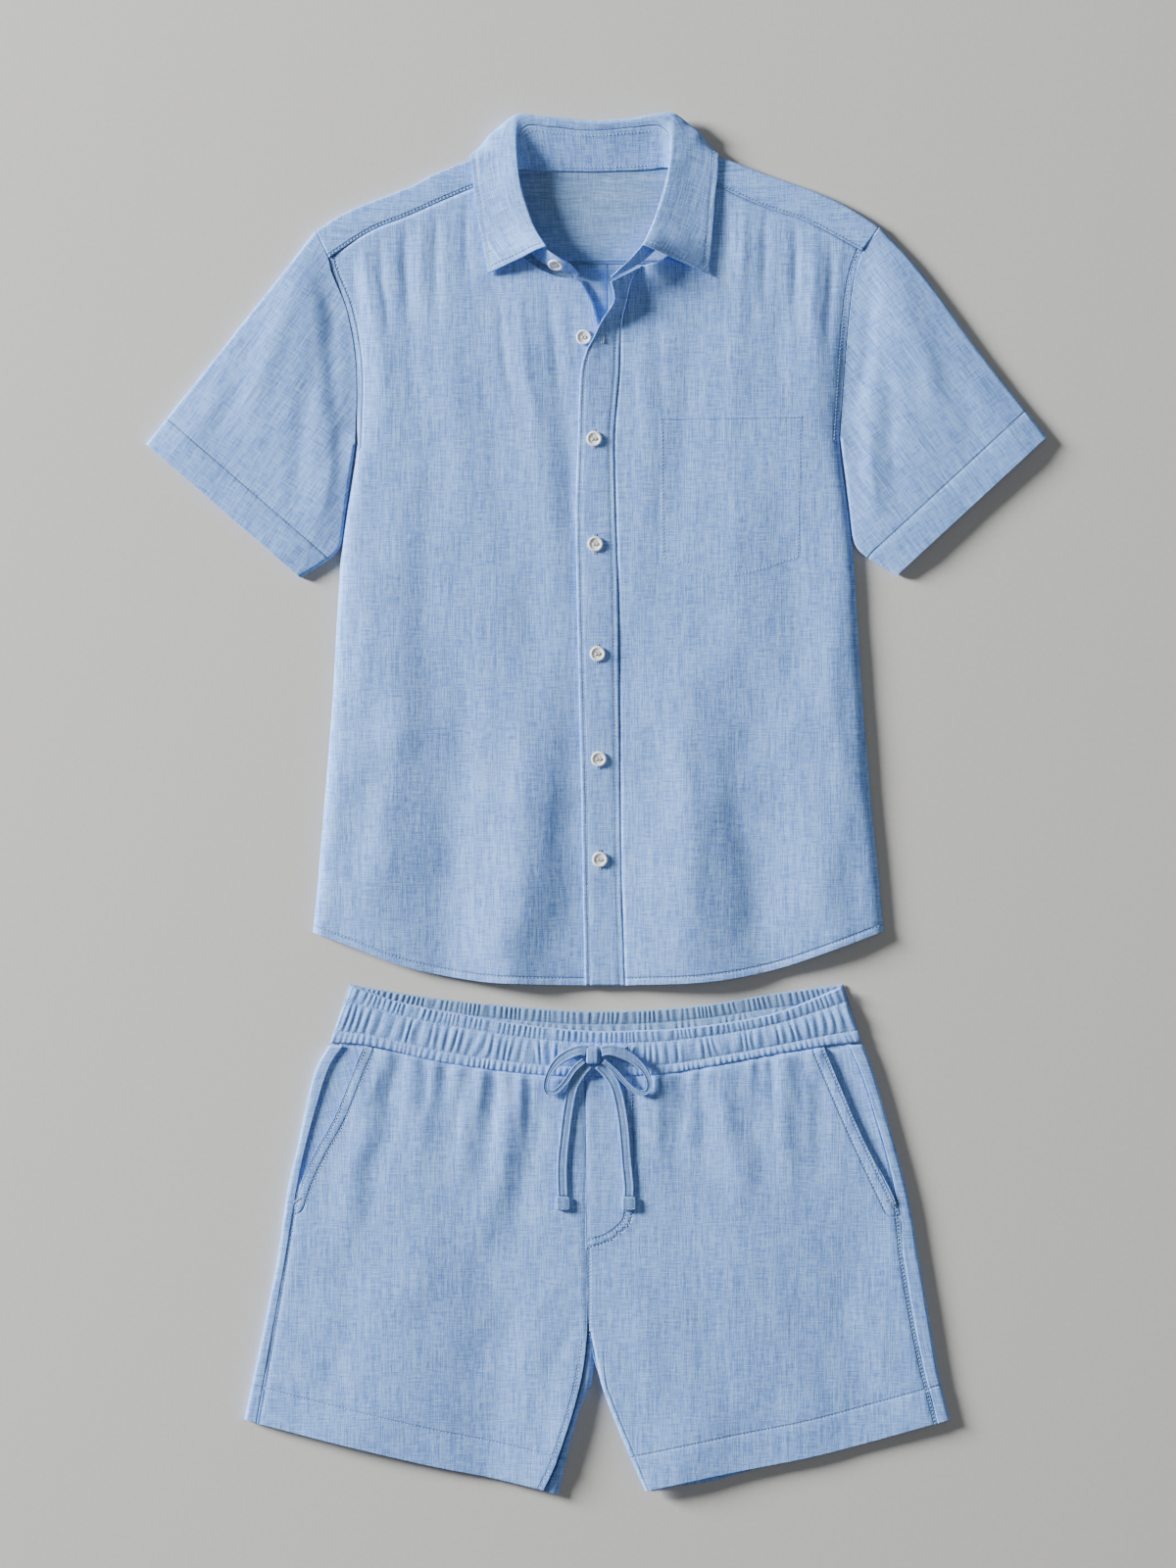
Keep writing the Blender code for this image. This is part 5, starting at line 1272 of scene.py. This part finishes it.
def buildWaistband(name, node, top, low, base, seed, inside=False):
    t = np.linspace(0, 1, 640)
    nearRows = [r + d for r in waist["rows"] for d in (-0.03, -0.015, 0, 0.015, 0.03)]
    marks = np.unique(np.concatenate([np.linspace(0, 1, 24), [0.01, 0.02, 0.035, 0.99, 0.98], nearRows]))
    a, b = curveAt(top, t), curveAt(low, t)
    s = marks[:, None, None]
    flat = a * (1 - s) + b * s
    along = np.broadcast_to(t * waist["length"], flat.shape[:2])
    across = np.broadcast_to(marks[:, None] * waist["high"], flat.shape[:2])
    first, second = waist["rows"]
    past, below = [smoothStep(marks, row - 0.02, row + 0.02) for row in (first, second)]
    shares = [1 - past, past * (1 - below), below]
    puff = [np.sin(math.pi * np.clip(0.35 + 0.65 * marks / first, 0, 1)),
            np.sin(math.pi * np.clip((marks - first) / (second - first), 0, 1)),
            np.sin(math.pi * np.clip((marks - second) / (1 - second), 0, 1) * 0.75)]
    z = np.zeros(flat.shape[:2])
    for k in range(3):
        wave = gatherWave(along, across * 0.25, waist["pitch"][k], seed + 7 * k)
        rise = (0.3 + 0.7 * np.clip(puff[k], 0, 1) ** 0.7) * shares[k]
        z = z + wave * waist["height"][k] * rise[:, None]
        z = z + waist["puff"] * (np.clip(puff[k], 0, 1) ** 0.6 * shares[k])[:, None]
    edge = np.minimum(t, 1 - t) * waist["length"]
    z = base + 0.9 + z
    z = turned(edge[None, :], z, 1.8)
    rim = np.minimum(marks, 1 - marks)[:, None] * waist["high"]
    z = z - (z - base - 1.0) * (1 - np.clip(rim / 1.6, 0, 1)) ** 2
    way = (b - a) / np.linalg.norm(b - a, axis=1)[:, None]
    frill = 0.5 * gatherWave(t * waist["length"], 0 * t, waist["pitch"][0], seed)
    flat = flat + way[None] * (frill[None, :, None] * (1 - np.clip(s / 0.2, 0, 1)))
    points = np.dstack([flat, np.maximum(z, base + 1.0)])
    grain = np.stack([along * 1.4 + 6000 + seed, across], -1)
    # The inside waistband takes the linen in painted shade.
    clothPiece(name, node, points, grain, 0.9, paintedShadeLinen if inside else faceLinen, held="gathered",
               flat=(0.6, 0.042), area=0.0252)
    if not inside:
        for row in waist["rows"]:
            j = int(np.argmin(np.abs(marks - row)))
            stitchLines["shortsStitching"].append(points[j][4:-4] + (0, 0, stitchLift["band"]))


buildWaistband("waistbandFrontCloth", "waistband_front", waistFrontTop, waistFrontLow, 4.0, 100)
# The back waistband shows as a strip inside the front one and takes the linen in painted shade.
buildWaistband("waistbandBackCloth", "waistband_back", waistBackTop, waistBackLow, 0.0, 200, True)
print("stage: waistbands")


# Drawstring: a folded and edge-stitched tape, tied in a bow.
cordSizes = {"width": 9.4, "thick": 1.7, "reach": 4.5, "bandLevel": 7.6, "bandLow": -246, "landed": -262,
             "over": 0.25, "smooth": 9}
knot = {"place": (-3, -217, 11.0), "size": (13.0, 15.5, 7.2), "square": 0.5, "drawn": 0.1}
folded = {"below": 6.4, "lift": 1.4, "size": (12, 12, 2.8), "square": 0.35}
leads = {"Left": [(-30, -213, 0.2), (-24, -214, 0.8), (-16, -215.5, 1.6), (-9.5, -216.5, 2.2)],
         "Right": [(27, -214, 0.2), (20, -215, 0.8), (11, -216, 1.6), (4, -216.5, 2.2)]}
loops = {"Left": [(-8.5, -213.5, 4.4), (-14, -212.5, 4.7), (-24, -216, 4.2), (-34, -223, 3.5),
                  (-41, -233, 2.9),
                  (-43.8, -243, 2.4), (-42, -249, 2.2), (-36, -249, 2.2), (-27.5, -241, 2.3),
                  (-19, -229, 2.8),
                  (-11, -221.5, 3.6)],
         "Right": [(4, -213.5, 4.4), (12, -212.5, 4.7), (23.5, -216, 4.2), (34, -222, 3.5), (42.5, -232, 2.9),
                   (45.6, -243, 2.4), (43, -249, 2.2), (36, -249, 2.2), (26.5, -242, 2.3), (16, -230.5, 2.8),
                   (6, -222, 3.6)]}
tails = {"Left": [(-7, -225, 2.0), (-13, -232, 1.0), (-20, -244, 0.5), (-24, -262, 0.2), (-27, -285, 0.1),
                  (-29.5, -310, 0.0), (-29.5, -330, 0.0), (-29, -339, 0.0)],
         "Right": [(2, -225, 2.0), (9, -232, 1.0), (16, -243, 0.5), (21, -262, 0.2), (24, -285, 0.1),
                   (26, -310, 0.0), (28, -330, 0.0), (28, -339, 0.0)]}


# Height that the tape lies at: level on the waistband, then down on the cloth of the shorts.
def cordGround(x, y):
    x, y = np.atleast_1d(np.asarray(x, float)), np.atleast_1d(np.asarray(y, float))
    beds = []
    for dx in (-cordSizes["reach"], 0.0, cordSizes["reach"]):
        px, py = x + dx, np.minimum(y, cordSizes["bandLow"])
        beds.append(np.where(px < -8, shortsSurfaces[0](px, py), shortsSurfaces[1](px, py)))
    bed = np.maximum.reduce(beds) + cordSizes["over"]
    count = cordSizes["smooth"]
    if len(bed) > count:
        bed = np.convolve(np.pad(bed, count // 2, mode="edge"), np.full(count, 1 / count), "valid")
    level = smoothStep(y, cordSizes["landed"], cordSizes["bandLow"])
    return bed * (1 - level) + cordSizes["bandLevel"] * level


def tapeSection():
    half, thick = cordSizes["width"] / 2, cordSizes["thick"]
    left = [(-1.0, 0.42), (-0.97, 0.72), (-0.88, 0.94), (-0.74, 1.0), (-0.6, 0.92), (-0.5, 0.74),
            (-0.35, 0.8)]
    right = [(-a, h) for a, h in reversed(left)]
    low = [(0.94, 0.12), (0.8, 0.0), (0.0, 0.0), (-0.8, 0.0), (-0.94, 0.12)]
    return np.array([(a * half, (h - 0.5) * thick) for a, h in left + [(0.0, 0.84)] + right + low])


# A stretch of tape along a table's points, flat or turning on edge.
def tapeParts(points, count, onEdge):
    t = np.linspace(0, 1, count)
    path = curveAt(points, t)
    turn = (onEdge * smoothStep(t, 0.15, 0.5))[:, None, None]
    path[:, 2] += cordGround(path[:, 0], path[:, 1]) + cordSizes["thick"] / 2
    side, up = directions(path)
    section = tapeSection()
    across, high = section[None, :, :1] * (1 - 0.5 * turn), section[None, :, 1:] * (1 + 0.4 * turn)
    rings = path[:, None] + side[:, None] * across + up[:, None] * high
    return path, (rings.reshape(-1, 3), tubeFaces(count, len(section), True), 0)


# A soft lump: a rounded box of cloth with its middle drawn in.
def softLump(centre, size, power, waistIn):
    rows, sides = 22, 36
    points = [(0, size[1] / 2, 0)]
    for j in range(1, rows):
        v = math.pi * j / rows
        for k in range(sides):
            a = 2 * math.pi * k / sides
            ring = math.sin(v) ** power
            draw = 1 - waistIn * math.exp(-(math.cos(v) / 0.35) ** 2)
            px = size[0] / 2 * ring * math.copysign(abs(math.cos(a)) ** power, math.cos(a)) * draw
            pz = size[2] / 2 * ring * math.copysign(abs(math.sin(a)) ** power, math.sin(a))
            pz *= 1 + 0.07 * math.sin(px * 2.4)
            points.append((px, size[1] / 2 * math.copysign(abs(math.cos(v)) ** power, math.cos(v)), pz))
    points.append((0, -size[1] / 2, 0))
    faces = [(0, 1 + k, 1 + (k + 1) % sides) for k in range(sides)]
    for j in range(rows - 2):
        for k in range(sides):
            a, b, n = 1 + j * sides, 1 + (j + 1) * sides, (k + 1) % sides
            faces.append((a + k, b + k, b + n, a + n))
    last, base = len(points) - 1, 1 + (rows - 2) * sides
    faces += [(last, base + (k + 1) % sides, base + k) for k in range(sides)]
    return np.array(points) + centre, [f[::-1] for f in faces], 0


def tapePiece(name, part, node):
    return meshPiece(name, node, [part], [tapeLinen])


def buildDrawstring():
    made = {}
    for side in ("Left", "Right"):
        for form, table, count in (("lead", leads, 24), ("loop", loops, 90), ("tail", tails, 80)):
            path, part = tapeParts(table[side], count, form == "loop")
            name = "drawstring%s%s" % (form.capitalize(), side)
            made[form, side] = tapePiece(name, part, "drawstring_%s_%s" % (form, side.lower())), path
        x, y = tails[side][-1][:2]
        z = float(cordGround(x, y - 6)[0]) + folded["lift"]
        lump = softLump((x, y - folded["below"], z), folded["size"], folded["square"], 0.0)
        made["tip", side] = tapePiece("drawstringTip" + side, lump, "drawstring_tip_" + side.lower()), None
        for dy in (-2.2, -11.0):
            line = [(x + dx, y + dy, z + 1.3) for dx in np.linspace(-4.6, 4.6, 8)]
            stitchLines["shortsStitching"].append(np.array(line))
    lump = softLump(knot["place"], knot["size"], knot["square"], knot["drawn"])
    knotPiece = tapePiece("drawstringKnot", lump, "drawstring_knot")
    for side in ("Left", "Right"):
        for form, far in (("loop", "object"), ("tail", "bare")):
            obj, path = made[form, side]
            length = np.linalg.norm(np.diff(path, axis=0), axis=1).sum() * mm
            [c * mm for c in path[0]]


buildDrawstring()
print("stage: drawstring")


# Buttonholes and bar tacks are rows of close satin stitches along short lines.
satinLines = []
buttonholes = {"apart": 1.7, "long": 17.0, "neckLong": 12.0, "cordLong": 9.0}


def buttonhole(x, y, z, length, turn=90.0):
    a = math.radians(turn)
    way, side = np.array([math.cos(a), math.sin(a)]), np.array([-math.sin(a), math.cos(a)])
    for shift in (-buttonholes["apart"] / 2, buttonholes["apart"] / 2):
        ends = [np.array([x, y]) + side * shift + way * length / 2 * k for k in (-1, 1)]
        satinLines.append(np.array([(*ends[0], z), (*ends[1], z)]))


def placeButtonholes():
    for x, y in buttonPlaces[1:]:
        z = float(placketSurface(np.array([x]), np.array([y]))[0]) + 0.1
        buttonhole(x, y, z, buttonholes["long"])
    x, y = 5.8, 404.6
    lift = np.interp(404, [r[0] for r in placketLift], [r[1] for r in placketLift])
    z = float(placketSurface(np.array([x]), np.array([y]))[0]) + lift * 0.38
    buttonhole(x, y, z, buttonholes["neckLong"], 86)
    for x in (-31, 28):
        buttonhole(x, -213, 8.1, buttonholes["cordLong"])
    for surface, line in zip(shortsSurfaces, ([(-262, -345), (-256, -341)], [(257, -347), (250, -343)])):
        p = np.array(line, float)
        satinLines.append(np.column_stack([p, surface(p[:, 0], p[:, 1]) + 0.15]))


placeButtonholes()


# One Geometry Nodes tree lays stitches along lines: its inputs are their pitch, their sizes and the thread.
def stitchTree():
    tree = bpy.data.node_groups.new("stitchesAlongLines", "GeometryNodeTree")
    face = tree.interface
    face.new_socket("Geometry", in_out="INPUT", socket_type="NodeSocketGeometry")
    names = {}
    for name, kind in (("Pitch", "Float"), ("Along", "Float"), ("Across", "Float"), ("Height", "Float"),
                       ("Thread", "Material")):
        socket = face.new_socket(name, in_out="INPUT", socket_type="NodeSocket" + kind)
        names[name] = socket.identifier
    face.new_socket("Geometry", in_out="OUTPUT", socket_type="NodeSocketGeometry")
    start = addNode(tree, "NodeGroupInput")
    curve = addNode(tree, "GeometryNodeMeshToCurve", {0: start.outputs["Geometry"]})
    inputs = {"Curve": curve.outputs[0], "Length": start.outputs["Pitch"]}
    points = addNode(tree, "GeometryNodeResampleCurve", inputs, mode="LENGTH")
    tangent = addNode(tree, "GeometryNodeInputTangent")
    turn = addNode(tree, "FunctionNodeAlignEulerToVector", {"Vector": tangent.outputs[0]}, axis="X")
    size = addNode(tree, "ShaderNodeCombineXYZ", {0: start.outputs["Along"], 1: start.outputs["Across"],
                                                  2: start.outputs["Height"]})
    uneven = addNode(tree, "FunctionNodeRandomValue", {2: 0.85, 3: 1.15, "Seed": 4}, data_type="FLOAT")
    inputs = {0: size.outputs[0], "Scale": uneven.outputs[1]}
    scaled = addNode(tree, "ShaderNodeVectorMath", inputs, operation="SCALE")
    bead = addNode(tree, "GeometryNodeMeshIcoSphere", {"Radius": 1.0, "Subdivisions": 1})
    laid = addNode(tree, "GeometryNodeInstanceOnPoints", {
        "Points": points.outputs[0], "Instance": bead.outputs[0], "Rotation": turn.outputs[0],
        "Scale": scaled.outputs[0]})
    real = addNode(tree, "GeometryNodeRealizeInstances", {0: laid.outputs[0]})
    inputs = {"Geometry": real.outputs[0], "Material": start.outputs["Thread"]}
    dressed = addNode(tree, "GeometryNodeSetMaterial", inputs)
    addNode(tree, "NodeGroupOutput", {0: dressed.outputs[0]})
    return tree, names


stitches, stitchInputs = stitchTree()


def layStitches(name, lines, thread, sizes):
    verts, edges = [], []
    for line in lines:
        base = len(verts)
        verts += [tuple(p) for p in np.asarray(line) * mm]
        edges += [(base + i, base + i + 1) for i in range(len(line) - 1)]
    mesh = bpy.data.meshes.new(name)
    mesh.from_pydata(verts, edges, [])
    obj = linkedObject(name, mesh)
    live = obj.modifiers.new("stitches", "NODES")
    live.node_group = stitches
    for key, value in sizes.items():
        live[stitchInputs[key]] = value
    live[stitchInputs["Thread"]] = thread
    bakeModifiers(obj)
    obj.data.shade_smooth()
    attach(obj, "root")
    print("stitches in", name, len(obj.data.polygons) // 20)


topstitch = {"Pitch": 0.0031, "Along": 0.0012, "Across": 0.0003, "Height": 0.00025}
satin = {"Pitch": 0.0005, "Along": 0.0003, "Across": 0.0009, "Height": 0.0003}
for groupName, lines in stitchLines.items():
    layStitches(groupName, lines, sewing, topstitch)
layStitches("buttonholeStitching", satinLines, darkSewing, satin)
print("stage: stitching")


# Floor: smooth pale grey board, with a very faint grain, wide enough to have no edge in any view.
floorSizes = {"wide": 40.0, "below": 0.0004}


def buildStage():
    made, tree = newMaterial("smooth pale grey board")
    colour = ramp(tree, fineClouds(tree), [(0.3, "C4C4C2"), (0.7, "C9C9C7")])
    inputs = {"Base Color": colour, "Roughness": 0.9, "Specular IOR Level": 0.1}
    finishMaterial(tree, addNode(tree, "ShaderNodeBsdfPrincipled", inputs))
    bpy.ops.mesh.primitive_plane_add(size=floorSizes["wide"], location=(0, 0, -floorSizes["below"]))
    floor = bpy.context.object
    floor.name = "paleFloor"
    floor.data.materials.append(made)


# Lights are aimed at the middle of the set: places and sizes in metres, power in watts.
lights = {
    "softKey": {"place": (-6.35, 2.45, 1.97), "size": 2.0, "power": 2010.0, "colour": (1.0, 0.99, 0.97)},
    "sideFill": {"place": (5.0, -1.0, 2.8), "size": 3.0, "power": 36.0, "colour": (0.98, 0.99, 1.0)},
    "overheadFill": {"place": (0.2, 0.3, 3.6), "size": 2.2, "power": 9.0, "colour": (0.98, 0.99, 1.0)}}
room = {"colour": (0.95, 0.97, 1.0, 1.0), "strength": 0.104}


def areaLight(name, light):
    data = bpy.data.lights.new(name, "AREA")
    data.shape = "DISK"
    data.size = light["size"]
    data.energy = light["power"]
    data.color = light["colour"]
    obj = linkedObject(name, data)
    obj.location = light["place"]
    obj.rotation_euler = (-Vector(light["place"])).to_track_quat("-Z", "Y").to_euler()


def buildLight():
    for name, light in lights.items():
        areaLight(name, light)
    world = bpy.data.worlds.new("softRoom")
    bpy.context.scene.world = world
    world.use_nodes = True
    background = world.node_tree.nodes["Background"]
    background.inputs["Color"].default_value = room["colour"]
    background.inputs["Strength"].default_value = room["strength"]


# The camera looks straight down: "tall" is the height in metres that the picture shows at the floor.
camera = {"lens": 85.0, "sensor": 36.0, "tall": 1.36, "x": -0.00735, "y": 0.0174, "far": 20.0}


def buildCamera():
    data = bpy.data.cameras.new("overhead")
    data.sensor_fit = "VERTICAL"
    data.sensor_height = camera["sensor"]
    data.lens = camera["lens"]
    data.clip_end = camera["far"]
    obj = linkedObject("overhead", data)
    obj.location = (camera["x"], camera["y"], camera["tall"] * camera["lens"] / camera["sensor"])
    bpy.context.scene.camera = obj


buildStage()
buildLight()
buildCamera()
print("cuts:", cuts)
print("stage: floor, lights and camera")

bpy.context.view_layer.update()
